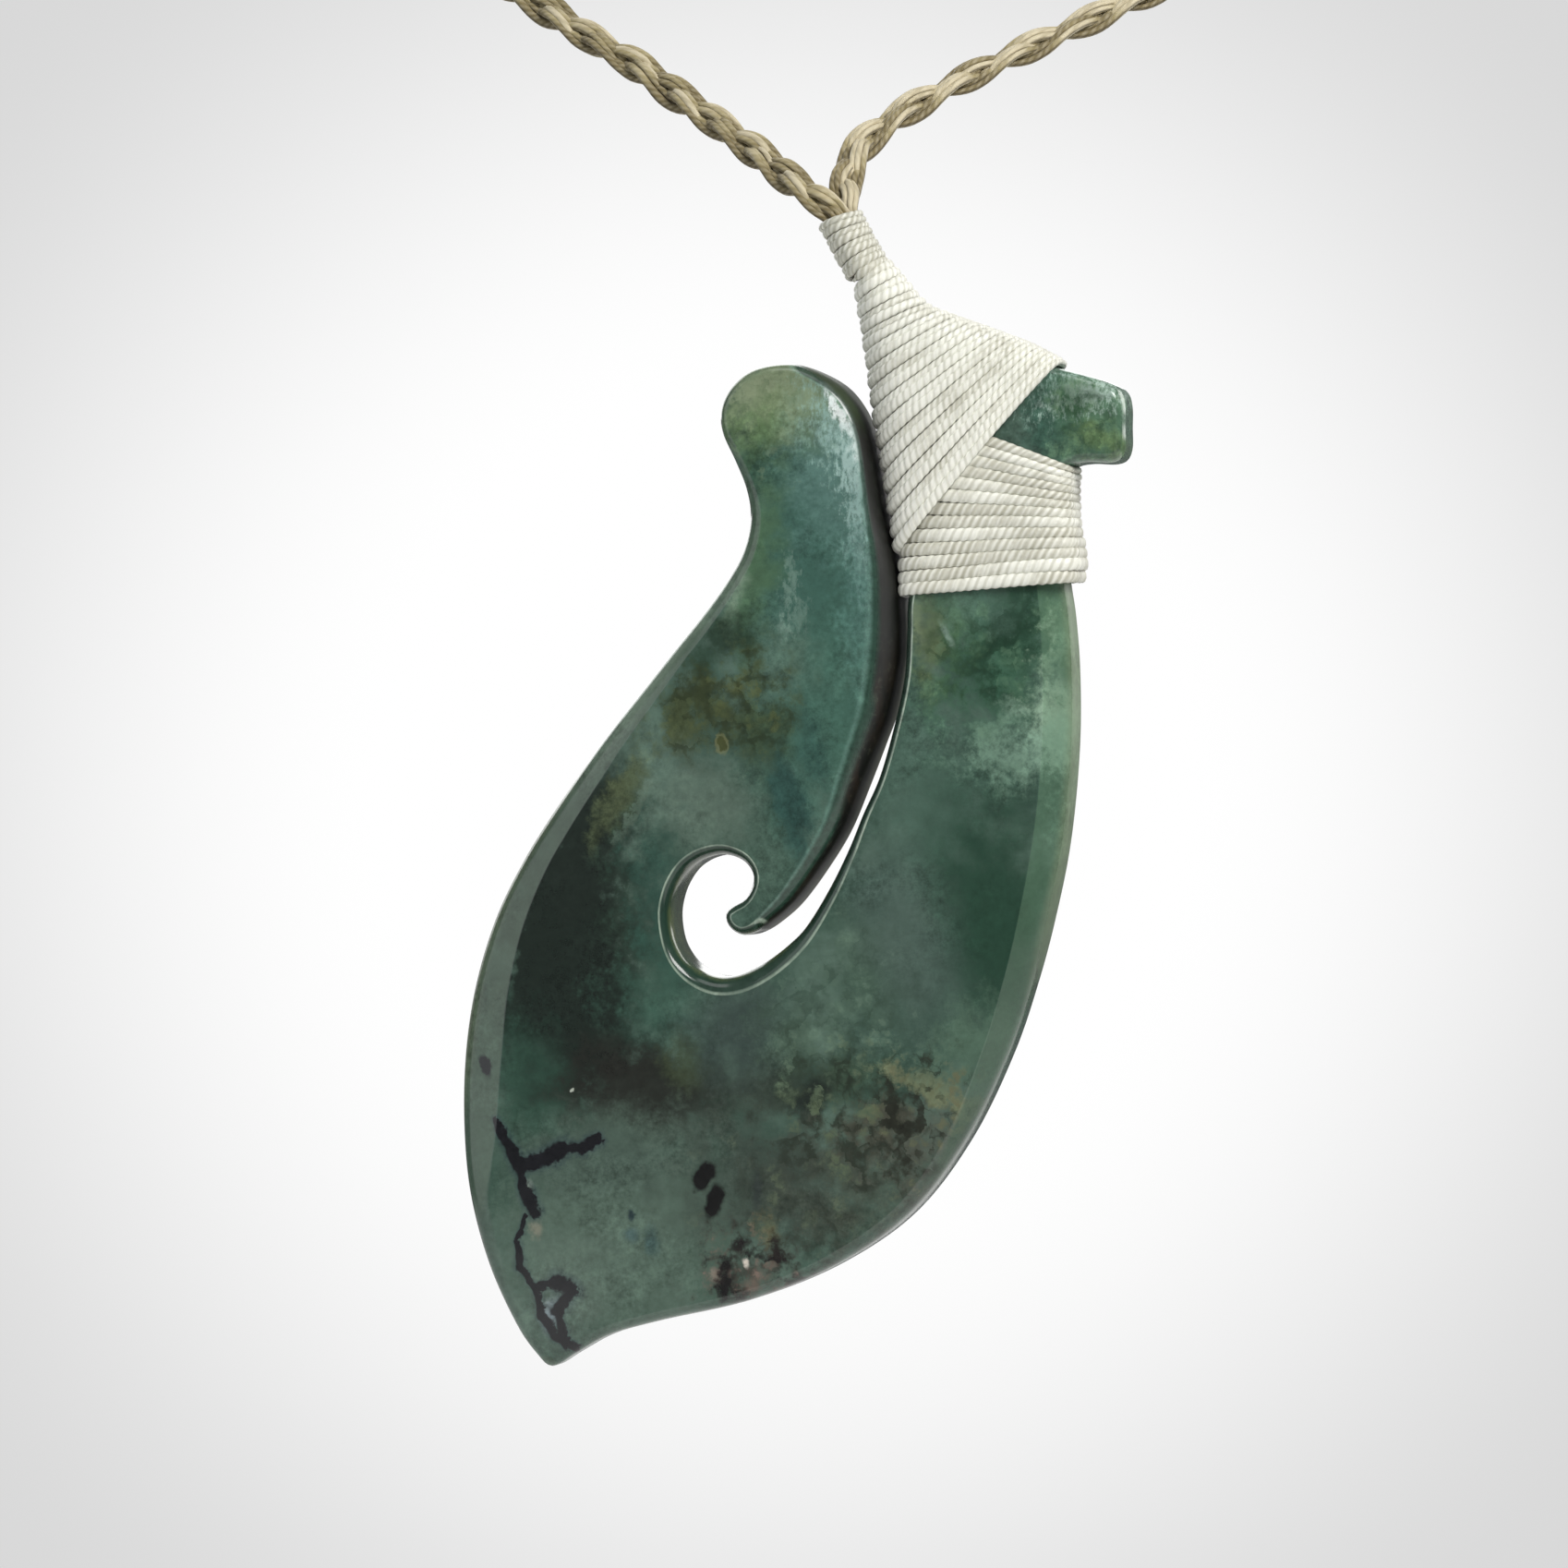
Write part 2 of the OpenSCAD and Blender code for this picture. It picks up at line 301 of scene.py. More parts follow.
class Graph:
    """A short way to add nodes to one tree and to wire them."""

    def __init__(self, tree: NodeTree) -> None:
        """Keeps the tree that the nodes go into."""
        self.tree = tree

    def put(self, kind: str, ins: dict | None = None, **settings: object) -> Node:
        """Adds one node.

        Args:
            kind: the node's type name.
            ins: its inputs by name or number, each a socket to link or a value to set.
            **settings: the node's own settings.

        Returns:
            The new node.
        """
        node = self.tree.nodes.new(kind)
        for key, value in settings.items():
            setattr(node, key, value)
        self.feed(node, ins or {})
        return node

    def feed(self, node: Node, ins: dict) -> None:
        """Links sockets to a node's inputs, or sets the inputs to values.

        Args:
            node: the node.
            ins: a socket or a value for each input.
        """
        for key, value in ins.items():
            if isinstance(value, Socket):
                self.tree.links.new(value, node.inputs[key])
            else:
                node.inputs[key].default_value = value

    def effect(self, tree: NodeTree, **ins: object) -> bpy.types.NodeOutputs:
        """A shared effect's outputs; underscores in its inputs' names stand for spaces."""
        named = {key.replace("_", " "): value for key, value in ins.items()}
        return self.put("ShaderNodeGroup", named, node_tree=tree).outputs

    def math(self, operation: str, a: object, b: object = 0.0, clamp: bool = False) -> Socket:
        """The result of one sum on two numbers or sockets."""
        ins = {0: a, 1: b}
        return self.put("ShaderNodeMath", ins, operation=operation, use_clamp=clamp).outputs[0]

    def add(self, a: object, b: object) -> Socket:
        """Two numbers or sockets added."""
        return self.math("ADD", a, b)

    def less(self, a: object, b: object) -> Socket:
        """The first number or socket less the second."""
        return self.math("SUBTRACT", a, b)

    def times(self, first: object, *others: object) -> Socket:
        """The product of several numbers or sockets."""
        for other in others:
            first = self.math("MULTIPLY", first, other)
        return first

    def shared(self, shares: Row, *values: object) -> Socket:
        """The sum of two values, each times its share."""
        return self.add(*(self.times(value, share) for value, share in zip(values, shares)))

    def vector(self, operation: str, a: object, b: object = (0, 0, 0), out: int = 0) -> Socket:
        """The result of one sum on two vectors; out is 1 where the result is a number."""
        return self.put("ShaderNodeVectorMath", {0: a, 1: b}, operation=operation).outputs[out]

    def scaled(self, vector: object, factor: object) -> Socket:
        """A vector made longer or shorter."""
        ins = {0: vector, "Scale": factor}
        return self.put("ShaderNodeVectorMath", ins, operation="SCALE").outputs[0]

    def flat(self, vector: object, factor: float = 1.0) -> Socket:
        """A vector's part in the front's plane, made longer or shorter."""
        return self.vector("MULTIPLY", vector, (factor, 0, factor))

    def parts(self, vector: object) -> tuple[Socket, ...]:
        """The three numbers of a vector."""
        return tuple(self.put("ShaderNodeSeparateXYZ", {0: vector}).outputs)

    def grey(self, value: object) -> Socket:
        """A number as a grey colour."""
        return self.put("ShaderNodeCombineColor", dict.fromkeys(range(3), value)).outputs[0]

    def mix(self, factor: object, a: object, b: object) -> Socket:
        """Two colours mixed."""
        node = self.put("ShaderNodeMix", {0: factor, 6: a, 7: b}, data_type="RGBA")
        return node.outputs[2]

    def over(self, colour: object, code: str, *masks: object) -> Socket:
        """A colour laid over another, as strongly as the masks' product."""
        return self.mix(self.times(*masks), colour, tone(code))

    def ramp(self, value: object, low: float, high: float, to_low: float = 0.0,
             to_high: float = 1.0) -> Socket:
        """A number eased from one span to another.

        Args:
            value: the number or socket.
            low: the value that gives to_low.
            high: the value that gives to_high.
            to_low: the first result.
            to_high: the last result.

        Returns:
            The eased number.
        """
        ins = {"Value": value, "From Min": low, "From Max": high, "To Min": to_low,
               "To Max": to_high}
        return self.put("ShaderNodeMapRange", ins, interpolation_type="SMOOTHSTEP").outputs[0]

    def noise(self, at: object, kind: Noise, colour: bool = False) -> Socket:
        """A noise pattern's value.

        Args:
            at: the place, a vector socket.
            kind: the pattern's settings.
            colour: True for three different numbers in place of one.

        Returns:
            The value or the colour.
        """
        if kind.stretch:
            at = self.vector("MULTIPLY", at, kind.stretch)
        ins = {"Vector": at, "Scale": kind.scale, "Detail": kind.detail, "Roughness": kind.rough,
               "Distortion": kind.bend}
        return self.put("ShaderNodeTexNoise", ins).outputs[1 if colour else 0]

    def eased(self, at: object, kind: Noise) -> Socket:
        """A noise pattern's value, eased over its span."""
        return self.ramp(self.noise(at, kind), *kind.span)

    def bump(self, height: Socket, strength: float, distance: float) -> Socket:
        """A normal that makes a height of so many metres look raised."""
        ins = {"Strength": strength, "Distance": distance, "Height": height}
        return self.put("ShaderNodeBump", ins).outputs[0]

    def local(self) -> Socket:
        """The place on the object, in metres."""
        return self.put("ShaderNodeTexCoord").outputs["Object"]

    def mark(self, name: str, out: str = "Fac") -> Socket:
        """One of the mesh's point attributes."""
        ins = {"attribute_name": name, "attribute_type": "GEOMETRY"}
        return self.put("ShaderNodeAttribute", **ins).outputs[out]


class SocketKind(Enum):
    """The kinds of sockets that a shared effect has."""

    NUMBER = "NodeSocketFloat"
    VECTOR = "NodeSocketVector"


def new_effect(name: str, ins: dict[str, SocketKind],
               outs: dict[str, SocketKind]) -> tuple[Graph, Node, Node]:
    """An empty shader group with named sockets.

    Args:
        name: the group's name.
        ins: its inputs.
        outs: its outputs.

    Returns:
        The group's graph, and the nodes that hold its inputs and its outputs.
    """
    tree = bpy.data.node_groups.new(name, "ShaderNodeTree")
    for key, kind in ins.items():
        tree.interface.new_socket(name=key, in_out="INPUT", socket_type=kind.value)
    for key, kind in outs.items():
        tree.interface.new_socket(name=key, in_out="OUTPUT", socket_type=kind.value)
    graph = Graph(tree)
    return graph, graph.put("NodeGroupInput"), graph.put("NodeGroupOutput")


NUMBER, VECTOR = SocketKind.NUMBER, SocketKind.VECTOR
# A noise's middle value
MIDDLE = 0.5


def soft_patch() -> NodeTree:
    """A patch with a soft, mottled edge: 1 inside an ellipse seen from the front.

    Returns:
        The group.
    """
    g, ins, outs = new_effect(
        "Soft patch",
        {"Position": VECTOR, "Centre": VECTOR, "Size": VECTOR, "Turn": NUMBER, "Soft": NUMBER,
         "Grain": NUMBER, "Mottle": NUMBER, "Strength": NUMBER},
        {"Mask": NUMBER})
    given = ins.outputs
    away = g.vector("SUBTRACT", given["Position"], given["Centre"])
    turned = g.put("ShaderNodeVectorRotate", {"Vector": away, "Angle": given["Turn"]},
                   rotation_type="Y_AXIS").outputs[0]
    reach = g.vector("LENGTH", g.vector("DIVIDE", turned, given["Size"]), out=1)
    shift = g.times(g.less(given["Mottle"], MIDDLE), given["Grain"])
    inside = g.add(g.less(1.0, reach), shift)
    eased = g.ramp(inside, g.times(given["Soft"], -1.0), given["Soft"])
    g.feed(outs, {"Mask": g.times(eased, given["Strength"])})
    return g.tree


def vein_reach() -> NodeTree:
    """How far a place lies from one stretch of a vein, in the vein's half widths.

    Returns:
        The group.
    """
    g, ins, outs = new_effect(
        "Vein reach", {"Position": VECTOR, "Start": VECTOR, "Run": VECTOR, "Half width": NUMBER},
        {"Reach": NUMBER})
    run = ins.outputs["Run"]
    away = g.vector("SUBTRACT", ins.outputs["Position"], ins.outputs["Start"])
    share = g.math("DIVIDE", g.vector("DOT_PRODUCT", away, run, out=1),
                   g.vector("DOT_PRODUCT", run, run, out=1), clamp=True)
    gap = g.vector("LENGTH", g.vector("SUBTRACT", away, g.scaled(run, share)), out=1)
    g.feed(outs, {"Reach": g.math("DIVIDE", gap, ins.outputs["Half width"])})
    return g.tree


def twisted_fibres(wobble: Noise = Noise(900.0, 2.0), frizz: Noise = Noise(5200.0, 3.0, 0.7),
                   wobble_reach: float = 2.4, wave_share: float = 0.7,
                   frizz_share: float = 0.5) -> NodeTree:
    """The fine fibres of a twisted thread, from its lay: round it and along it.

    Args:
        wobble: the noise that lets the fibres wander.
        frizz: the noise of the loose fibres.
        wobble_reach: how far the fibres wander, in radians.
        wave_share: the fibres' share of the height.
        frizz_share: the loose fibres' share of the height.

    Returns:
        The group.
    """
    g, ins, outs = new_effect(
        "Twisted fibres", {"Lay": VECTOR, "Pitch": NUMBER, "Fibres": NUMBER, "Place": VECTOR},
        {"Height": NUMBER, "Fibre": NUMBER})
    given = ins.outputs
    across, outward, along = g.parts(given["Lay"])
    angle = g.math("ARCTAN2", outward, across)
    run = g.math("DIVIDE", g.times(along, 2 * math.pi), given["Pitch"])
    drift = g.times(g.noise(given["Place"], wobble), wobble_reach)
    phase = g.add(g.times(g.less(angle, run), given["Fibres"]), drift)
    wave = g.add(g.times(g.math("SINE", phase), 0.5), 0.5)
    loose = g.times(g.noise(given["Place"], frizz), frizz_share)
    g.feed(outs, {"Height": g.add(g.times(wave, wave_share), loose), "Fibre": wave})
    return g.tree


class Effects:
    """The shared effects, each built once."""

    def __init__(self) -> None:
        """Builds the groups."""
        self.patch = soft_patch()
        self.vein = vein_reach()
        self.fibres = twisted_fibres()


def new_material(name: str) -> tuple[Material, Graph, Node]:
    """A material with only its shader and its output.

    Args:
        name: the material's name.

    Returns:
        The material, its graph and its shader node.
    """
    material = bpy.data.materials.new(name)
    material.use_nodes = True
    material.node_tree.nodes.clear()
    g = Graph(material.node_tree)
    shader = g.put("ShaderNodeBsdfPrincipled")
    output = g.put("ShaderNodeOutputMaterial")
    g.tree.links.new(shader.outputs[0], output.inputs[0])
    return material, g, shader


# Finishes
@dataclass(frozen=True)
class Patch:
    """One cloud, blotch or spot in the stone, or a painted highlight, seen from the front, in
    millimetres.
    """

    x: float
    z: float
    rx: float
    rz: float
    colour: str
    strength: float = 0.8
    soft: float = 0.5
    grain: float = 0.6
    turn: float = 0.0
    fine: bool = False


@dataclass(frozen=True)
class Layer:
    """A colour laid where several marks are high.

    Each span is a mark's name, the values between which it eases from 0 to 1, and other
    results than 0 and 1 where they differ.
    """

    colour: str
    spans: tuple[tuple, ...]
    strength: float = 1.0


# A patch reaches this far through the stone, far more than its thickness; a vein this many half
# widths away doesn't show
THROUGH, FAR = 1000.0, 99.0
# Clouds in the stone, and painted highlights: x, z, reach to the sides, reach up and down,
# colour, and the rest of Patch
CLOUDS = (
    # the barb arm and its knob
    (-2.4, -30, 6, 15, "3f6359"), (-0.5, -41, 4, 9, "45685b", 0.7, 0.5, 0.6, -12),
    (-6.4, -28, 1.8, 7, "506d4e", 0.7, 0.5, 1.2, -6),
    (-7.7, -27.4, 0.7, 5.4, "869c88", 0.75, 0.7, 1, -3), (-3.8, -15, 5, 3.6, "7a8b69", 0.9, 0.4),
    (-6.2, -16.2, 1.6, 1, "5c7850", 0.6, 0.4, 2.4), (-2.2, -15, 1.6, 1.8, "8b9a7c", 0.6, 0.4, 2.4),
    (-7, -14.2, 1.5, 1.6, "909b80", 0.55, 0.4, 1.8), (-2.8, -13.2, 3, 1, "7c876f", 0.5),
    (-5.4, -17.7, 2.4, 1.4, "58724e", 0.65, 0.5, 1.2), (-4.6, -20.2, 2.6, 1.5, "2f4d42", 0.7),
    (-0.4, -21.4, 2.6, 4.8, "64867f", 0.6, 0.7, 1, 12),
    # painted highlights: pale frost streaks and white glints where the arm's rounding meets the
    # light
    (0.7, -18.2, 1.5, 4, "94b5ad", 0.8, 0.6, 2, 20, True),
    (0.6, -16, 0.55, 1.3, "f4fbf9", 0.95, 0.45, 1.6, 30, True),
    (1.9, -18.9, 0.5, 2.2, "ecf7f4", 0.95, 0.45, 1.8, 16, True),
    (1.8, -22.4, 0.8, 3, "b4cec9", 0.75, 0.6, 2.2, 12, True),
    (2.4, -27, 0.8, 4, "82a59d", 0.6, 0.7, 1.8, 9, True),
    (2.4, -31, 1.4, 6, "557a72", 0.5, 0.7, 1.2, 6),
    # pale frost flecks on the arm's face, painted highlights too
    (-3.6, -29.4, 0.45, 1.4, "8fab9d", 0.35, 0.5, 2, 0, True),
    (-2.9, -32.4, 0.6, 1.2, "86a194", 0.3, 0.5, 2, 0, True),
    (-3.7, -33.6, 0.4, 0.9, "86a194", 0.3, 0.5, 2, 0, True),
    (-4, -36.5, 2.4, 2.6, "62796a", 0.5, 0.6, 1.2),
    (-8.6, -34.2, 2.6, 1.5, "26382b", 0.85, 0.45, 1.6, 20),
    (-11, -36, 1.5, 1.2, "2a3f31", 0.7, 0.5, 1.6),
    (-9, -40.2, 3.8, 2.7, "434b2e", 0.85, 0.4, 2.6, 10),
    (-5.2, -42, 2.4, 3.2, "3a4b37", 0.7, 0.5, 1.6), (-8, -38, 1.2, 0.8, "59603c", 0.6, 0.5, 1.6),
    (-10.6, -47.8, 4.2, 3.6, "5f7266", 0.85, 0.5, 0.8),
    (-3, -47.6, 1.3, 4.6, "2d4b46", 0.85, 0.35, 0.5, 14),
    (-1.3, -43.5, 1, 3, "2f4e48", 0.6, 0.5, 0.5, 14), (-5.2, -53, 2.2, 3, "4d6458", 0.7),
    # the near-black zone along the left
    (-21.4, -61, 5.9, 13, "1e2722", 0.98, 0.1, 0.7, 6),
    (-19.8, -50.5, 3.4, 6.5, "222b26", 0.95, 0.25, 0.6, -28),
    (-15.8, -57.5, 2.6, 7, "2a3930", 0.8, 0.3, 2),
    (-16.8, -46.4, 1, 3.4, "626d4c", 0.5, 0.5, 1.6, -32),
    (-15.8, -48.2, 0.3, 2.6, "728373", 0.4, 0.5, 1.4, -30),
    (-13.8, -63.5, 3.4, 4, "3f6053", 0.65, 0.6, 1.6),
    (-14.6, -54.6, 1.8, 4.6, "33544a", 0.6, 0.5, 2.2),
    (-24.8, -71, 2.6, 5, "2f4a3e", 0.85, 0.4, 0.8),
    (-16, -71.2, 6.4, 3.9, "262723", 0.95, 0.3, 0.8, -8),
    (-5, -70.5, 6.5, 2.6, "30372f", 0.85, 0.5, 1.2),
    (-12.2, -68.8, 1.3, 1.6, "48553a", 0.5, 0.5, 1.6),
    # the middle of the lobe
    (-7.4, -66.4, 3.8, 3.8, "394743", 0.9, 0.5, 0.8),
    (-3.4, -66.8, 2.8, 2, "526858", 0.6, 0.5, 1.8),
    (2.6, -62.3, 3.2, 3.6, "475d4f", 0.7, 0.5, 1.4), (1.4, -70.6, 4, 2, "3e5140", 0.7, 0.5, 2),
    (-1.8, -71.6, 1.4, 1.9, "222a26", 0.95, 0.3, 0.8, -20),
    # the flat grey-green foot of the lobe
    (-17.5, -83, 10, 9, "586c60", 0.95, 0.3, 0.4), (-19.5, -77.2, 6.6, 2.8, "495a51", 0.8, 0.4),
    (-7, -78.5, 6, 5, "434f47", 0.8, 0.5, 0.9), (-2.5, -79.8, 4.6, 4.2, "3d463f", 0.8, 0.5, 1.2),
    (2.6, -79, 5.4, 4.2, "42493f", 0.75, 0.5, 1.6), (7, -75.2, 4.6, 3.4, "4f5148", 0.8, 0.5, 1.6),
    (3.4, -74, 3, 2, "433f33", 0.5, 0.5, 2), (9.6, -71.6, 4, 0.8, "7b8262", 0.7, 0.3, 2.2, -24),
    (-6.4, -86, 3, 2.8, "3b3430", 0.85, 0.3, 2.4), (-5.2, -82.6, 1, 1.2, "6c6a4c", 0.6, 0.5, 2),
    # the shank
    (8.4, -48, 4.6, 9, "4a6458", 0.85, 0.5, 0.5, 8), (14, -35.4, 6, 5.6, "3f6650", 0.9, 0.4, 1.6),
    (15.2, -34, 3.4, 4, "213b2d", 0.8, 0.2, 3.2), (11, -36.4, 2.4, 2.4, "264233", 0.75, 0.2, 3.2),
    (10, -34, 1.6, 3.6, "4f6b4c", 0.6, 0.5, 2.2), (7.9, -34.6, 1, 3.6, "667152", 0.6, 0.6, 0.9),
    (12, -31.8, 2.2, 1.6, "5c7a6c", 0.6, 0.5, 2.4),
    (18.6, -34.6, 1.4, 2.6, "7a997e", 0.75, 0.4, 2.2),
    (18.4, -40, 1.8, 4, "9cb8a0", 0.8, 0.4, 2.2), (18.9, -37, 0.9, 1.3, "26422f", 0.7, 0.3, 2.6),
    (15.6, -43.6, 3.6, 2.2, "80a08c", 0.85, 0.5, 2.2, -8),
    (13.6, -57.4, 5.1, 10.8, "244233", 0.9, 0.6, 0.6, 10),
    (6, -58.5, 3.4, 7, "4d5f58", 0.7, 0.6, 0.6, 20),
    (12, -67.2, 3.6, 2.6, "56705f", 0.8, 0.5, 1.4, 30),
    # the head
    (21.2, -16.6, 3.6, 4, "5b7d64", 0.9, 0.5, 0.8),
    # painted highlight: pale frost along the head's top edge
    (19.6, -14.8, 2.2, 1.3, "9dbcae", 0.8, 0.4, 2.8, 14, True),
    (17.6, -17.6, 1.8, 3, "37594e", 0.7, 0.5, 1.6),
    # painted highlight: more pale frost along the head's top edge
    (21.6, -14.9, 2.2, 0.9, "b3c9bd", 0.8, 0.4, 2.6, 14, True),
    (19.9, -15.6, 1.2, 1.8, "2c4a2c", 0.7, 0.5, 2.2), (22, -18.6, 1.8, 1, "6b8150", 0.6, 0.5, 2),
)
# Small marks that lie over the clouds
SPOTS = (
    (-28.7, -69.2, 0.55, 1, "0f1318", 1, 0.2, 0.3, 20),
    (-10.5, -78, 0.75, 1.35, "161616", 1, 0.2, 0.3, -38),
    (-9.6, -80, 0.78, 1.45, "161616", 1, 0.2, 0.3, -16),
    (-16.5, -81.3, 0.34, 0.42, "1f3036", 0.9, 0.4, 0.3),
    (-16.6, -82.8, 0.6, 0.5, "41585a", 0.7, 0.5, 1),
    (-14.9, -83.4, 0.55, 1.1, "405a5a", 0.7, 0.5, 1),
    (-6.1, -79.2, 0.35, 1.4, "333a3a", 0.6, 0.5, 0.8),
    (-23.3, -89.4, 0.7, 1.3, "8d9aa0", 0.8, 0.5, 1, -20),
    (-24.4, -82.6, 0.5, 0.6, "8b8878", 0.7, 0.5, 1.4),
    (-25.1, -78.9, 0.35, 0.4, "98a598", 0.7, 0.5, 1),
    (-7, -85.1, 0.2, 0.4, "e0d8cc", 0.9, 0.5, 0.8, 20),
    (-9.6, -86, 0.4, 0.6, "8f8579", 0.6, 0.5, 1.4),
    (-8.8, -86.2, 0.6, 2.2, "1c1a1b", 0.95, 0.2, 1.8, -6),
    (-7.6, -83.6, 1.3, 0.6, "201d1d", 0.9, 0.2, 2, 20),
    (-4.4, -84.2, 0.5, 1.6, "231f1e", 0.9, 0.2, 1.8, 12),
    (-3.2, -86.8, 1, 0.6, "1f1c1b", 0.85, 0.2, 1.8, 10),
    (-6.4, -86.8, 1, 0.8, "75695f", 0.7, 0.3, 2),
    (-9, -42.9, 0.55, 0.95, "7f8058", 0.45, 0.12, 0.2, 12),
    (-9, -42.9, 0.3, 0.7, "444a2c", 0.9, 0.12, 0.2, 12),
    (-21.4, -71.1, 0.12, 0.12, "c5ccbf", 0.8, 0.4, 0.2),
    (7, -32.8, 0.5, 1.8, "7f8b6a", 0.4, 0.5, 1, 10),
    (9.6, -34.2, 0.25, 0.9, "8fa79b", 0.5, 0.6, 1.2, 30),
)
# Mossy places, coloured as the dark of their gaps, and the pale of their lumps
MOSS = (
    (Patch(0.6, -65.4, 5.4, 5.6, "33463b", 0.5, 0.5, 1.6), "6a8371"),
    (Patch(2.6, -73.8, 6.4, 5.2, "272e25", 0.75, 0.5, 1.6, -20), "5e6c53"),
    (Patch(9, -74, 5.6, 4.6, "262720", 0.8, 0.5, 1.6, -30), "6a6a50"),
    (Patch(-3.2, -80.6, 6.4, 4.8, "2f372e", 0.45, 0.5, 1.6), "5e6a54"),
    (Patch(-6.6, -85.6, 3.4, 2.8, "1b1819", 0.85, 0.4, 1.8), "86746a"),
    (Patch(13.6, -35, 5.6, 5, "1b3324", 0.45, 0.5, 1.6), "64866a"),
    (Patch(-8.6, -40, 4.8, 3.8, "252d1c", 0.6, 0.5, 1.8), "565f3c"),
    (Patch(21, -17.2, 3.2, 3.4, "223c2a", 0.45, 0.5, 1.6), "7a9a76"),
    (Patch(-5, -16.4, 4.4, 4, "46603f", 0.3, 0.5, 1.6), "8b9a78"),
)
# Stretches of black vein: start x and z, end x and z, half width
VEINS = (
    (-27.7, -73.7, -26.8, -75.4, 0.3), (-26.8, -75.4, -25.8, -77.4, 0.46),
    (-25.8, -77.4, -25.5, -79, 0.34), (-25.5, -77.3, -23.6, -76.7, 0.56),
    (-23.6, -76.7, -22.2, -75.9, 0.62), (-22.2, -75.9, -20.6, -75.8, 0.44),
    (-20.6, -75.8, -19.3, -75.1, 0.44), (-25.2, -79.4, -24.6, -81, 0.5),
    (-25.4, -81.4, -26, -83.2, 0.2), (-26, -83.6, -25.9, -85.6, 0.3),
    (-25.9, -85.6, -24.4, -87.5, 0.26), (-24.4, -87.3, -22.7, -86.7, 0.34),
    (-22.7, -86.8, -21.6, -87.4, 0.62), (-21.8, -87.8, -22.8, -89.2, 0.5),
    (-22.8, -89.2, -22.3, -91.8, 0.34), (-24.5, -87.4, -24.1, -89.6, 0.3),
    (-24.1, -89.6, -23, -91.2, 0.36), (-22.8, -91.3, -21.3, -92.2, 0.34),
)


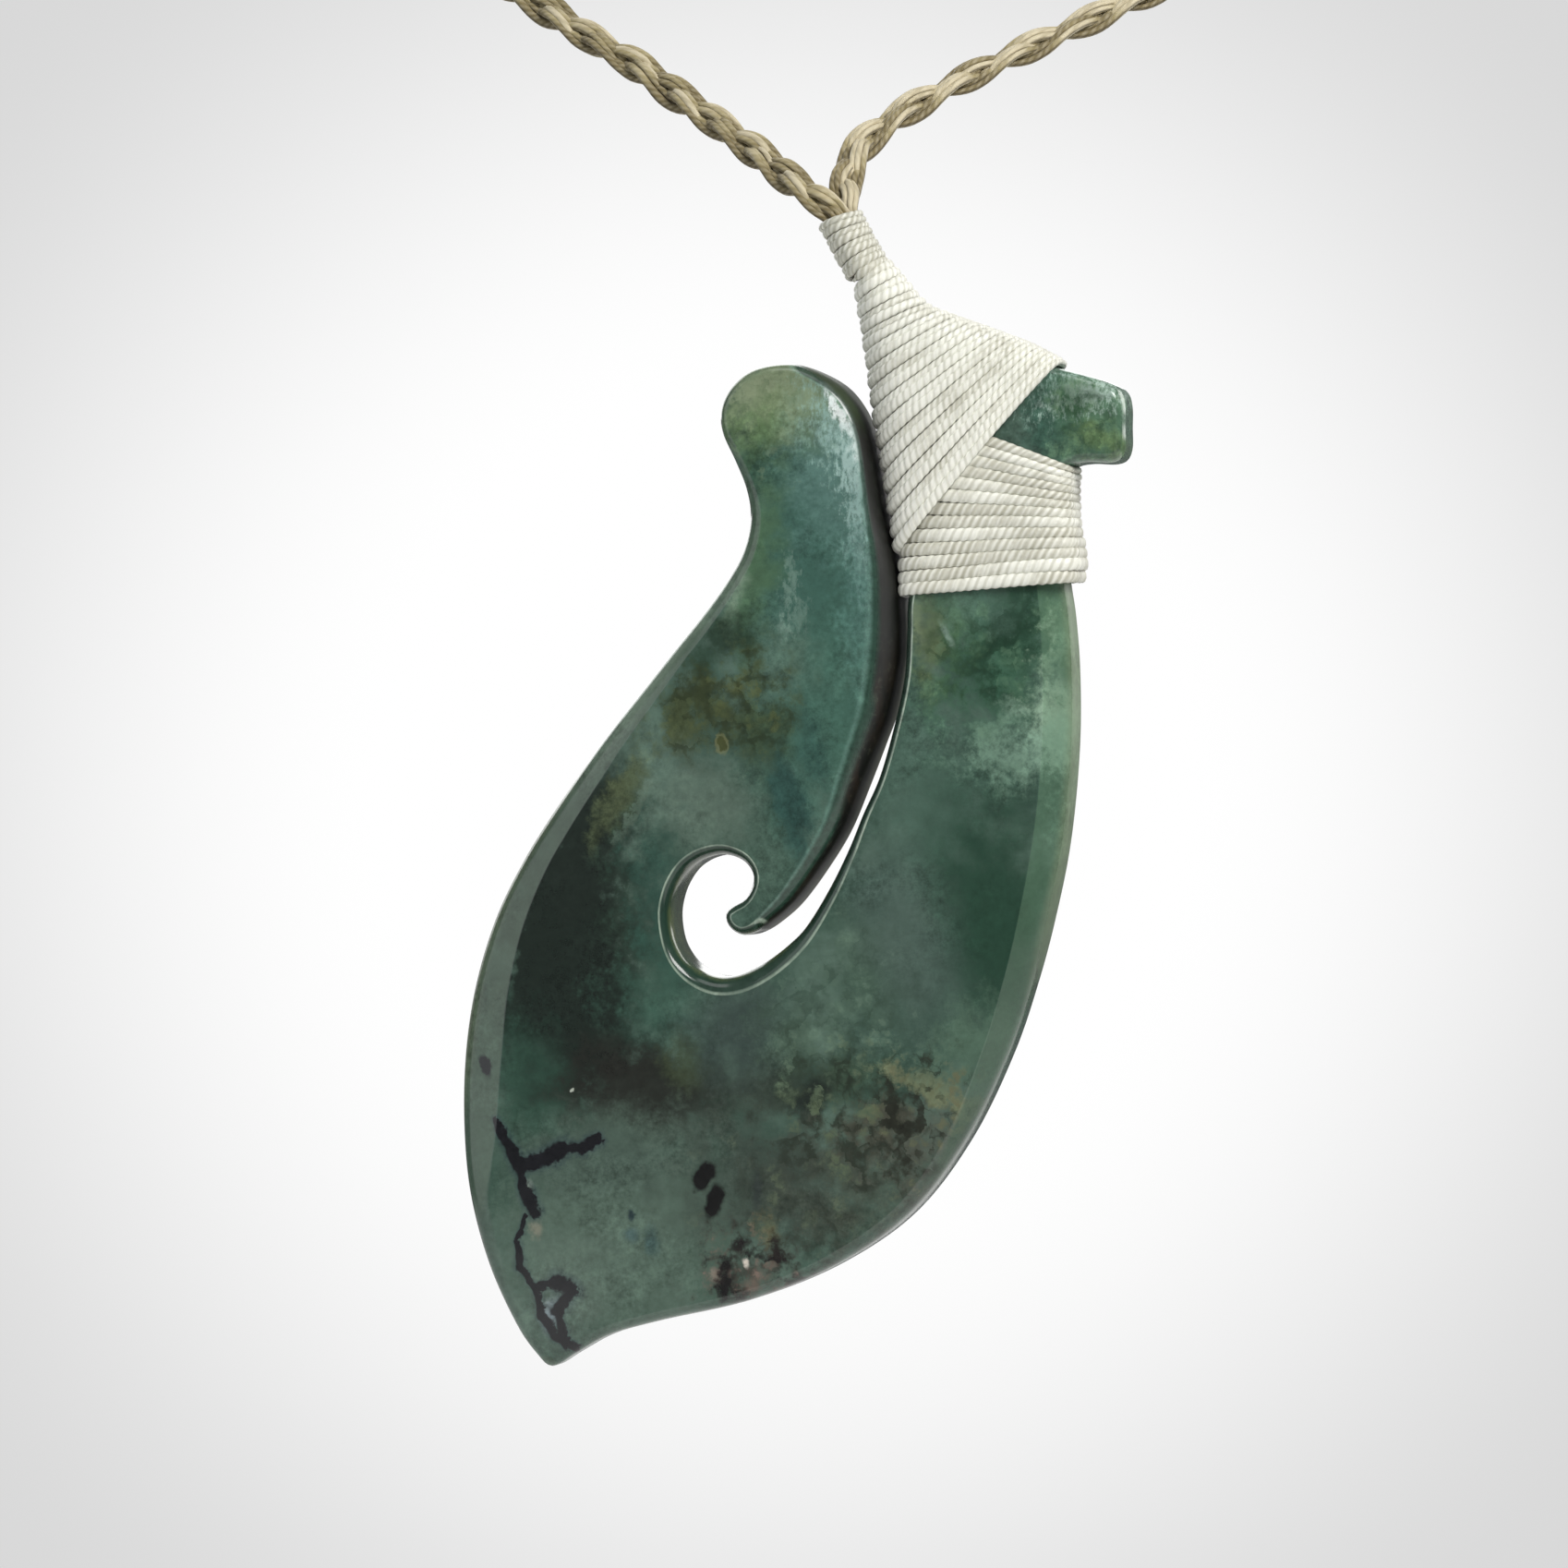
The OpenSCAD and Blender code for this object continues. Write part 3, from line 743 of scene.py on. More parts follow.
@dataclass(frozen=True)
class JadeFinish:
    """Polished green stone with clouds, dark zones, black veins and brown mottling, with painted
    light and shade along its edges.
    """

    ground: str = "4c6357"
    ground_dark: str = "3a5247"
    ground_pale: str = "5d7468"
    # the bevel strip's colours on the left and the right, a painted sheen of light
    bevel_sheen_left: str = "4f6353"
    bevel_sheen_right: str = "5f8267"
    wall_painted_shade: str = "0f100d"
    depth_of_colour: float = 0.96
    roughness: float = 0.16
    wall_roughness: float = 0.34
    # the speckle changes the roughness a little, and the outermost rim is as rough as the wall
    speckle_roughness: float = 0.12
    rough_rim: Row = (0.82, 0.97)
    bend_of_light: float = 1.55
    # noises for places in millimetres
    wide: Noise = Noise(0.09, 5.0, 0.6, 0.6, span=(0.38, 0.62))
    slow_pull: Noise = Noise(0.16, 8.0, 0.7)
    fine_pull: Noise = Noise(1.1, 3.0, 0.6)
    feather: Noise = Noise(0.45, 6.0, 0.62)
    speckle: Noise = Noise(2.2, 4.0, 0.65)
    fleck: Noise = Noise(1.9, 6.0, 0.74, stretch=(1.5, 1, 0.7), span=(0.3, 0.7))
    streak: Noise = Noise(0.9, 4.0, 0.6, stretch=(1.0, 0.35, 0.22))
    breaks: Noise = Noise(0.35, 3.0)
    lump_pull: Noise = Noise(0.5, 4.0, 0.65)
    grain: Noise = Noise(0.55, 7.0, 0.72)
    grain_strength: Noise = Noise(0.16, 3.0, span=(0.4, 0.62, 0.6, 2.0))
    ripple: Noise = Noise(0.25, 2.0)
    # how far they pull a place about: for small marks, for clouds slowly and finely, for lumps
    near_reach: float = 0.9
    cloud_reach: Row = (4.4, 1.6)
    lump_reach: float = 2.0
    # the moss's lumps in two sizes, how many to the millimetre and their share; the rest says
    # where a lump's own height, its middle, its gap and its top show
    lumps: tuple[Row, ...] = ((0.42, 0.6), (1.1, 0.4))
    lump_stretch: Row = (1, 0.3, 1)
    lump_height: float = 0.6
    lump_middle: Row = (0.6, 0.2, 0.0, 0.5)
    lump_gap: Row = (0.48, 0.2)
    lump_top: Row = (0.5, 0.85)
    # the feather's and the speckle's shares of the mottle, and the mottle's of the ground
    mottle_shares: Row = (0.75, 0.25)
    mottle_span: Row = (0.25, 0.75)
    ground_share: float = 0.35
    # the grain's and the speckle's shares of the fine shading, its middle, and the bump
    grain_shares: Row = (0.95, 0.45)
    grain_middle: float = 0.7
    speckle_height: float = 0.03
    bump: Row = (0.25, 0.00012)
    fray: float = 0.2
    vein_fray: float = 1.3
    # the edge strip, a painted sheen of light on the bevel, starts at the rim; from x to x it
    # turns from the left's colour and share to the right's
    strip_start: Row = (0.0, 0.04)
    strip_turn: Row = (2.0, 8.0)
    strip_shares: Row = (0.72, 0.4)
    rim_layers: tuple[Layer, ...] = (
        Layer("7d886a", (("rim", 0.6, 1.0),), 0.5),
        # low on the right the edge strip is painted darker, a painted shade that tones down the key
        # light's sheen where it meets the bevel squarely
        Layer("1f3b2c", (("rim", 0.0, 0.04), ("x", 2.0, 8.0), ("z", -50.0, -66.0, 0.0, 0.55))),
        # the arm's outer side catches more light than the lobe's
        Layer("8a9c8b", (("rim", 0.0, 0.6), ("x", 2.0, -2.0), ("z", -50.0, -36.0, 0.0, 0.75))),
    )
    edge_layers: tuple[Layer, ...] = (
        # the veins: their halo and their core
        Layer("33424a", (("vein", 2.3, 1.0),), 0.45),
        Layer("16151a", (("vein", 1.35, 0.85),), 0.97),
        # the slot's border: a pale line of painted highlight, then green that darkens, a painted
        # shade
        Layer("6f9387", (("border", 0.0, 0.16),), 0.35),
        Layer("1f382b", (("border", 0.14, 0.34),), 0.85),
        # the lip: its dark band of painted shade, its streaky wall, and its fine line of painted
        # highlight, broken in places
        Layer("22362b", (("lip", 0.1, 0.26),), 0.7),
        Layer("55623f", (("lip", 0.66, 0.95), ("streak", 0.38, 0.6, 0.25, 0.95))),
        Layer("9fb09f", (("lip", 0.0, 0.05), ("lip", 0.24, 0.1),
                         ("broken", 0.36, 0.6, 0.35, 0.95))),
    )
    # the slot's wall, painted near-black as a painted shade: brown streaks, pale flecks, olive
    # where it is lit, and green at the top
    wall_layers: tuple[Layer, ...] = (
        Layer("271d15", (("streak", 0.45, 0.62), ("z", -31.0, -42.0, 0.05, 0.7))),
        Layer("4f5346", (("speckle", 0.55, 0.68), ("z", -31.0, -42.0, 0.05, 0.7)), 0.5),
        Layer("585b42", (("y", -1.2, 1.6), ("z", -30.5, -34.0)), 0.75),
        Layer("2c3a22", (("z", -18.5, -15.0),)),
    )
    wall_share: float = 0.98
    clouds: tuple[tuple, ...] = CLOUDS
    spots: tuple[tuple, ...] = SPOTS
    moss: tuple[tuple[Patch, str], ...] = MOSS
    veins: tuple[Row, ...] = VEINS

    def material(self, effects: Effects) -> Material:
        """The stone's material.

        Args:
            effects: the shared groups.

        Returns:
            The finished material.
        """
        paint = StonePaint(self, effects)
        paint.lay_patches(self.clouds, "cloudy")
        paint.lay_moss()
        paint.lay_bevel_sheen()
        paint.colour = paint.layered(paint.colour, self.rim_layers)
        paint.lay_patches(self.spots, "near")
        paint.find_veins()
        paint.colour = paint.layered(paint.colour, self.edge_layers)
        # the edge's wall is painted near-black, a painted shade in the deep slot
        wall = paint.layered(tone(self.wall_painted_shade), self.wall_layers)
        by_wall = paint.g.times(paint.at["wall"], self.wall_share)
        paint.colour = paint.g.mix(by_wall, paint.colour, wall)
        paint.shade()
        return paint.material


class StonePaint:
    """The stone's material while its layers are laid, one over the other.

    What they follow is in at, by name. Raw is the place in millimetres, and near and cloudy are
    pulled about. Rim, lip, wall and border are the mesh's marks, 0 at the face to 1 at the edge.
    """

    def __init__(self, finish: JadeFinish, effects: Effects) -> None:
        """Starts from the ground colour.

        Args:
            finish: the values of the stone's finish.
            effects: the shared groups.
        """
        self.finish, self.effects = finish, effects
        self.material, self.g, self.shader = new_material("polished_green_stone")
        self.at = self._places()
        g, at = self.g, self.at
        wide = g.eased(at["raw"], finish.wide)
        ground = g.over(tone(finish.ground_dark), finish.ground_pale, wide)
        self.colour = g.over(ground, finish.ground, at["mottle"], finish.ground_share)

    def _places(self) -> dict[str, Socket]:
        """The places, noises and marks that the layers follow.

        Returns:
            Each by name.
        """
        g, finish = self.g, self.finish
        ins = {0: g.local(), 1: (1 / MM,) * 3, 2: tuple(NAPE)}
        raw = g.put("ShaderNodeVectorMath", ins, operation="MULTIPLY_ADD").outputs[0]
        slow, fine = (g.vector("SUBTRACT", g.noise(raw, kind, colour=True), (MIDDLE,) * 3)
                      for kind in (finish.slow_pull, finish.fine_pull))
        by_slow, by_fine = finish.cloud_reach
        cloudy = g.vector("ADD", g.vector("ADD", raw, g.flat(slow, by_slow)), g.flat(fine, by_fine))
        speckle = g.noise(raw, finish.speckle)
        mottle = g.shared(finish.mottle_shares, g.noise(raw, finish.feather), speckle)
        at = {"raw": raw, "near": g.vector("ADD", raw, g.flat(fine, finish.near_reach)),
              "cloudy": cloudy, "speckle": speckle, "mottle": g.ramp(mottle, *finish.mottle_span),
              "fleck": g.eased(raw, finish.fleck), "streak": g.noise(raw, finish.streak),
              "broken": g.noise(raw, finish.breaks)}
        at.update(zip("xyz", g.parts(raw)))
        at.update((name, g.mark(name)) for name in ("rim", "lip", "wall", "border"))
        return at

    def _mask(self, patch: Patch, position: Socket, mottle: Socket, fray: float = 0.0) -> Socket:
        """How strongly a patch shows at each place.

        Args:
            patch: the patch.
            position: the place in millimetres.
            mottle: the noise that frays its edge.
            fray: how much its grain softens its edge.

        Returns:
            The mask.
        """
        return self.g.effect(
            self.effects.patch, Position=position, Centre=(patch.x, 0, patch.z),
            Size=(patch.rx, THROUGH, patch.rz), Turn=math.radians(patch.turn),
            Soft=patch.soft + fray * patch.grain, Grain=patch.grain, Mottle=mottle,
            Strength=patch.strength)["Mask"]

    def layered(self, colour: object, layers: tuple[Layer, ...]) -> Socket:
        """Layers laid over a colour, each where all its marks are high.

        Args:
            colour: the colour below.
            layers: the layers, the lowest first.

        Returns:
            The colour with its layers.
        """
        for layer in layers:
            masks = (self.g.ramp(self.at[name], *span) for name, *span in layer.spans)
            colour = self.g.over(colour, layer.colour, *masks, layer.strength)
        return colour

    def lay_patches(self, rows: tuple[tuple, ...], place_name: str) -> None:
        """Lays patches of colour.

        Args:
            rows: the values of each patch.
            place_name: the place that they are laid by.
        """
        for patch in (Patch(*row) for row in rows):
            mottle = self.at["fleck" if patch.fine else "mottle"]
            mask = self._mask(patch, self.at[place_name], mottle, self.finish.fray)
            self.colour = self.g.over(self.colour, patch.colour, mask)

    def lay_moss(self) -> None:
        """Lays the mossy lumps."""
        g, at, finish = self.g, self.at, self.finish
        pull = g.flat(g.noise(at["raw"], finish.lump_pull, colour=True), finish.lump_reach)
        lumpy = g.vector("MULTIPLY", g.vector("ADD", at["near"], pull), finish.lump_stretch)
        crown: object = 0.0
        for scale, share in finish.lumps:
            cell = g.put("ShaderNodeTexVoronoi", {"Vector": lumpy, "Scale": scale}).outputs
            own = g.put("ShaderNodeSeparateColor", {0: cell["Color"]}).outputs[0]
            middle = g.ramp(cell["Distance"], *finish.lump_middle)
            crown = g.add(crown, g.times(g.add(g.times(own, finish.lump_height), middle), share))
        gap, top = g.ramp(crown, *finish.lump_gap), g.ramp(crown, *finish.lump_top)
        for patch, pale in finish.moss:
            mask = self._mask(patch, at["near"], at["mottle"])
            self.colour = g.over(self.colour, patch.colour, mask, gap)
            self.colour = g.over(self.colour, pale, mask, top)

    def lay_bevel_sheen(self) -> None:
        """Lays the strip along the edge, a painted sheen of light on the bevel, which differs from
        the left to the right.
        """
        g, at, finish = self.g, self.at, self.finish
        right = g.ramp(at["x"], *finish.strip_turn)
        strip = g.over(tone(finish.bevel_sheen_left), finish.bevel_sheen_right, right)
        clear = g.ramp(at["x"], *finish.strip_turn, *finish.strip_shares)
        mask = g.times(g.ramp(at["rim"], *finish.strip_start), clear)
        self.colour = g.mix(mask, self.colour, strip)

    def find_veins(self) -> None:
        """Adds how far each place lies from the nearest vein, in its half widths, made ragged."""
        g, at = self.g, self.at
        flat, reach = g.flat(at["near"]), FAR
        for x, z, to_x, to_z, half in self.finish.veins:
            vein = g.effect(self.effects.vein, Position=flat, Start=(x, 0, z),
                            Run=(to_x - x, 0, to_z - z), Half_width=half)
            reach = g.math("MINIMUM", vein["Reach"], reach)
        at["vein"] = g.add(reach, g.times(g.less(at["speckle"], MIDDLE), self.finish.vein_fray))

    def shade(self) -> None:
        """Gives the colour its fine shading and feeds the shader."""
        g, at, finish = self.g, self.at, self.finish
        raw, speckle = at["raw"], at["speckle"]
        grain = g.shared(finish.grain_shares, g.noise(raw, finish.grain), speckle)
        strength = g.eased(raw, finish.grain_strength)
        grain = g.add(g.times(g.less(grain, finish.grain_middle), strength), 1.0)
        ins = {0: 1.0, 6: self.colour, 7: g.grey(g.times(grain, finish.depth_of_colour))}
        shaded = g.put("ShaderNodeMix", ins, data_type="RGBA", blend_type="MULTIPLY").outputs[2]
        rough = g.times(g.less(speckle, MIDDLE), finish.speckle_roughness)
        rough = g.add(finish.roughness, rough)
        for mark in (at["wall"], g.ramp(at["rim"], *finish.rough_rim)):
            rough = g.add(rough, g.times(mark, finish.wall_roughness))
        ripple = g.add(g.noise(raw, finish.ripple), g.times(speckle, finish.speckle_height))
        g.feed(self.shader, {"Base Color": shaded, "Roughness": rough,
                             "IOR": finish.bend_of_light, "Normal": g.bump(ripple, *finish.bump)})


@dataclass(frozen=True)
class ThreadFinish:
    """Pale waxed thread, or the khaki thread of the plait."""

    name: str
    light: str
    middle: str
    dark: str
    # the gap colour is painted shade on each thread's sides, next to its neighbours
    gap: str
    pitch: float
    fibres: float
    roughness: float
    # where round the thread the painted shade on its sides is full, and where it ends
    flank_shade_low: float
    flank_shade_high: float
    relief: float = 0.00006
    shade_share: float = 0.4
    light_share: float = 0.3
    fibre_share: float = 0.62
    # the valley colour is painted shade between two plies
    valley_shade: str = "99977f"
    valley_share: float = 0.6
    blots: Noise = Noise(420.0, 3.0, 0.6)
    bump_strength: float = 0.6
    sheen: float = 0.15
    smoother_fibres: float = -0.12
    # where the thread's blots and painted shade turn it from dark to middle, where the light
    # starts, and where the crest falls to the painted shade of the valley between two plies
    wear_and_shade_middle: Row = (0.34, 0.62)
    wear_and_shade_light: Row = (0.55, 0.75)
    valley_edge: Row = (0.1, -0.9)

    def material(self, effects: Effects) -> Material:
        """The thread's material.

        Args:
            effects: the shared groups.

        Returns:
            The finished material.
        """
        material, g, shader = new_material(self.name)
        here, lay = g.local(), g.mark("lay", "Vector")
        fibres = g.effect(effects.fibres, Lay=lay, Pitch=self.pitch, Fibres=self.fibres, Place=here)
        # random blots, with the shade mark, which carries painted light and shade
        wear_and_shade = g.add(g.times(g.noise(here, self.blots), 1.0 - self.shade_share),
                     g.times(g.mark("shade"), self.shade_share))
        valley_shade = g.ramp(g.mark("crest"), *self.valley_edge)
        outward = g.math("ABSOLUTE", g.parts(lay)[1])
        colour: object = tone(self.dark)
        for code, *masks in (
                (self.middle, g.ramp(wear_and_shade, *self.wear_and_shade_middle)),
                (self.light, g.ramp(wear_and_shade, *self.wear_and_shade_light), self.light_share),
                (self.light, fibres["Fibre"], self.fibre_share),
                # painted shade in the valley between two plies
                (self.valley_shade, valley_shade, self.valley_share),
                # painted shade on the thread's sides
                (self.gap, g.ramp(outward, self.flank_shade_high, self.flank_shade_low))):
            colour = g.over(colour, code, *masks)
        rough = g.add(self.roughness, g.times(fibres["Fibre"], self.smoother_fibres))
        g.feed(shader, {"Base Color": colour, "Roughness": rough, "Sheen Weight": self.sheen,
                        "Normal": g.bump(fibres["Height"], self.bump_strength, self.relief)})
        return material


# The stone
@dataclass(frozen=True)
class Stretch:
    """One stretch of the hook's outline, and what shows along its edge.

    Each row is x, z, bevel width, 0 for the wide bevel to 1 for a narrow rounding, and the
    share of half_t. The last two are 1 where they are left out. The lip is how clearly a fine
    line of painted highlight, with a band of painted shade inside it, follows the edge, and the
    wall is how dark the painted shade on the edge's wall looks.
    """

    rows: tuple[Row, ...]
    lip: float = 0.0
    wall: float = 0.0


# The hook's outline, once round
OUTLINE = (
    # the head, the shank's right side, the lobe, the tail and the left side
    Stretch((
        (23.9, -17.3, 0.75, 1, 0.88), (23.9, -18.9, 0.75, 1, 0.88), (23.5, -19.9, 0.75, 1, 0.88),
        (22.6, -20.25, 0.75, 1, 0.88), (20.8, -20.2, 0.75, 1, 0.88), (19.4, -20.5, 0.75, 1, 0.88),
        (18.7, -21.6, 1, 0.6, 0.88), (18.5, -23.3, 1.6, 0, 0.88), (18.6, -26.7, 2, 0, 0.86),
        (19.1, -30.2, 2.3, 0, 0.86), (19.45, -32.6, 2.4, 0, 0.88), (19.75, -36.5, 2.5, 0, 0.95),
        (19.8, -41.5, 2.5, 0), (19.5, -46.5, 2.5, 0), (18.9, -51.5, 2.5, 0), (17.9, -56.4, 2.4, 0),
        (16.5, -61.7, 2.2, 0.1), (14.3, -68, 1.9, 0.5), (10.8, -75, 1.4, 0.9, 0.98),
        (6.2, -81, 1.1, 1, 0.95), (0.2, -85.2, 1, 1, 0.9), (-6.8, -88.1, 0.9, 1, 0.85),
        (-14.4, -89.9, 0.8, 1, 0.76), (-18.6, -91.1, 0.8, 1, 0.68), (-21.4, -92.6, 0.8, 1, 0.58),
        (-22.9, -93.55, 0.8, 1, 0.52), (-23.8, -93.75, 0.9, 0.7, 0.5), (-24.6, -93, 1, 1, 0.54),
        (-26.3, -90.6, 1.1, 1, 0.66), (-28.6, -85.6, 1.4, 1, 0.78), (-30.2, -79.8, 2, 0.9, 0.88),
        (-30.9, -74, 3.2, 0.25, 0.94), (-30.8, -68, 3.6, 0, 0.97), (-29.9, -62.4, 3.3, 0),
        (-28.2, -57, 2.9, 0), (-25.9, -52.4, 2.5, 0), (-23.5, -48.6, 2.3, 0),
        (-20.4, -44.2, 2.1, 0.1), (-18.5, -41.7, 1.9, 0.2), (-15.9, -38.5, 1.7, 0.3),
        (-13.3, -35.3, 1.5, 0.4), (-10.9, -32.4, 1.4, 0.5), (-8.9, -29.7, 1.3, 0.6),
        (-7.5, -27.2, 1.3, 0.7), (-6.9, -24.5, 1.2, 0.8), (-7.2, -22.2, 1, 0.9),
        (-8.1, -19.9, 0.9), (-9.1, -17.7, 0.8), (-9.3, -15.7, 0.8, 1, 0.96),
        (-8.4, -13.8, 0.8, 1, 0.94), (-6.6, -12.45, 0.8, 1, 0.92), (-3.8, -12, 0.8, 1, 0.92))),
    # the knob's top right, and then the arm's wall down the slot to the curled tip
    Stretch(((-1.8, -12.5, 0.9, 1, 0.94),), wall=0.45),
    Stretch((
        (0.4, -13.8, 1, 1, 0.97), (1.9, -15.7, 0.95)), wall=0.9),
    Stretch((
        (2.7, -17.7, 1), (3.2, -19.9, 1.15), (3.9, -23.9, 1.5), (4.75, -27.4, 2),
        (5.25, -30.8, 2.5), (5.35, -35, 2.8), (4.95, -38, 2.7)), wall=1.0),
    Stretch((
        (4.35, -40.6, 2.5), (3.6, -42.6, 2.3), (2.2, -46.2, 2)), wall=0.75),
    Stretch((
        (0.7, -49.9, 1.7), (-1.2, -53, 1.5), (-3.3, -55.8, 1.3), (-5.1, -57.4, 1)), wall=0.5),
    # the curled tip and the hole's rim
    Stretch((
        (-6.3, -58.2, 0.75), (-7.4, -58.45, 0.7), (-8.3, -58.05, 0.7), (-8.8, -57.3, 0.7),
        (-8.75, -56.5, 0.7), (-8.1, -55.95, 0.7), (-7.3, -55.5, 0.7), (-6.75, -54.7, 0.7),
        (-6.55, -53.8, 0.7), (-6.85, -53, 0.75), (-7.6, -52.3, 0.8), (-9, -51.9, 0.85),
        (-10.5, -52.2, 0.9), (-11.7, -52.9, 0.9), (-12.5, -53.9, 0.9), (-13.05, -55.1, 0.9),
        (-13.35, -56.7, 0.9), (-13.15, -58.5, 0.9), (-12.6, -59.8, 1.05), (-11.7, -60.85, 1.2),
        (-10.5, -61.55, 1.38), (-9.1, -61.85, 1.52), (-7.4, -61.5, 1.6), (-5.4, -60.45, 1.55),
        (-3.5, -59, 1.4), (-2.1, -57.5, 1.2), (-0.3, -54.6, 1.05)), lip=1.0),
    # the shank's side of the slot
    Stretch((
        (1.25, -51.5, 0.9), (2.45, -48.6, 0.8), (3.8, -45.6, 0.75), (4.95, -41.6, 0.75, 1, 0.98),
        (5.8, -37.6, 0.75, 1, 0.95), (6, -34, 0.75, 1, 0.9), (6.15, -30.8, 0.75, 1, 0.86)),
        lip=0.8),
    # the shank and the head under the lashings, and the head's top edge
    Stretch((
        (7.4, -26.6, 1, 1, 0.86), (9, -21.2, 1, 1, 0.86), (9.2, -15.4, 1, 1, 0.86),
        (8.9, -11, 1, 1, 0.87), (10, -9.4, 1, 1, 0.87), (13.5, -10.9, 1, 0.8, 0.86),
        (17.6, -12.3, 0.75, 1, 0.86), (20.5, -13.1, 0.75, 1, 0.88), (22.7, -13.85, 0.75, 1, 0.88),
        (23.6, -14.5, 0.75, 1, 0.88), (23.9, -15.7, 0.75, 1, 0.88))),
)


# Columns of the outline's samples after x and z
WIDTH, ROUNDING, SHARE, LIP, WALL, INWARD = 2, 3, 4, 5, 6, slice(7, 9)


@dataclass
class JadeHook(Dressed):
    """The carved hook: one closed outline, ground flat, with a bevel that changes round it."""

    outline: tuple[Stretch, ...] = OUTLINE
    half_t: float = 3.9
    samples_per_row: int = 24
    outline_step: float = 0.36
    grid_step: float = 0.8
    # the grid of points starts this many bevel widths inside the edge
    grid_inset: float = 1.32
    bevel_rings: Row = (
        0.04, 0.1, 0.18, 0.3, 0.45, 0.62, 0.8, 0.94, 0.985, 1.0, 1.015, 1.07, 1.2)
    # shares of the half thickness at shares of the bevel's width
    wide_bevel: tuple[Row, ...] = (
        (0, 0.2), (0.04, 0.4), (0.1, 0.54), (0.2, 0.65), (0.3, 0.71), (1.0, 1.0))
    square_edge: tuple[Row, ...] = ((0, 0.86), (0.2, 0.93), (0.6, 0.985), (1, 1))
    # the share of the slot's border that is painted near-black, a painted shade, where its wall is
    # deepest, how soft its end is, and how fast the border comes up with the wall
    wall_share: float = 0.62
    wall_soft: float = 0.14
    border_rise: float = 2.5
    # bevel widths over which the looks of two edges blend
    blend: float = 0.06
    # a point lies outside an edge when it is this share of its gap, and this much more, behind
    # it; such an edge counts as so many bevel widths further away
    behind: Row = (0.35, 0.02)
    outside_adds: float = 20.0
    # the least gap, and the power by which nearer edges set the thickness
    thickness_pull: Row = (0.05, 2.5)
    # a ring keeps the points that no other edge is much nearer to
    ring_keeps: float = 0.95
    grid_rows: float = 0.87
    weld: float = 1e-5
    points_at_once: int = 1500

    def _edge(self) -> np.ndarray:
        """The closed outline at even steps.

        Returns:
            One row for each sample: x, z, and the columns named above, of which the last two
            are the direction into the stone.
        """
        # a row's rounding and share are 1 where they are left out
        rows = np.array([((*row, 1, 1)[:5] + (part.lip, part.wall)) for part in self.outline
                         for row in part.rows])
        wrapped = np.vstack([rows[-2:], rows, rows[:3]])
        last = len(rows) + 2
        dense = smooth_rows(wrapped, np.linspace(2, last, len(rows) * self.samples_per_row))
        even = by_length(dense[:, :2], dense[:, 2:], self.outline_step)[0][:-1]
        ahead = unit(np.roll(even[:, :2], -1, axis=0) - np.roll(even[:, :2], 1, axis=0))
        return np.hstack([even, ahead[:, 1:], -ahead[:, :1]])

    def _nearest(self, points: np.ndarray,
                 edge: np.ndarray) -> tuple[np.ndarray, np.ndarray, np.ndarray]:
        """How deep each point lies inside the bevel, and what the edge is like there.

        Args:
            points: x and z of the points.
            edge: the outline's samples with their columns.

        Returns:
            The distance in bevel widths, the nearest edge's rounding, lip and wall as
            columns, and the share of half_t.
        """
        depth, looks, share = [], [], []
        least_gap, power = self.thickness_pull
        for part in np.array_split(points, max(1, len(points) // self.points_at_once)):
            away = part[:, None, :] - edge[None, :, :2]
            gap = np.linalg.norm(away, axis=2)
            # an edge only bevels the stone on its own inner side, not that across the slot
            inward = (away * edge[None, :, INWARD]).sum(axis=2)
            outside = inward < -self.behind[0] * gap - self.behind[1]
            scaled = gap / edge[None, :, WIDTH] + self.outside_adds * outside
            least = scaled.min(axis=1, keepdims=True)
            pull = 1 / np.maximum(gap, least_gap) ** power
            pull /= pull.sum(axis=1, keepdims=True)
            close = np.exp(-((scaled - least) / self.blend) ** 2)
            close /= close.sum(axis=1, keepdims=True)
            depth.append(least[:, 0])
            looks.append(close @ edge[:, [ROUNDING, LIP, WALL]])
            share.append((pull * edge[None, :, SHARE]).sum(axis=1))
        return np.concatenate(depth), np.vstack(looks), np.concatenate(share)

    def _flat(self, edge: np.ndarray) -> np.ndarray:
        """The points of the flat pattern.

        Args:
            edge: the outline's samples with their columns.

        Returns:
            Their x and z: the outline first, then rings along the bevel and a grid inside.
        """
        groups = [edge[:, :2]]
        for t in self.bevel_rings:
            ring = edge[:, :2] + edge[:, INWARD] * edge[:, WIDTH, None] * t
            groups.append(ring[self._nearest(ring, edge)[0] > t * self.ring_keeps])
        low, high = edge[:, :2].min(axis=0), edge[:, :2].max(axis=0)
        xs = np.arange(low[0], high[0], self.grid_step)
        zs = np.arange(low[1], high[1], self.grid_step * self.grid_rows)
        gx, gz = np.meshgrid(xs, zs)
        gx = gx + (np.arange(len(zs)) % 2)[:, None] * self.grid_step / 2
        grid = np.stack([gx.ravel(), gz.ravel()], axis=1)
        groups.append(grid[self._nearest(grid, edge)[0] > self.grid_inset])
        return np.vstack(groups)

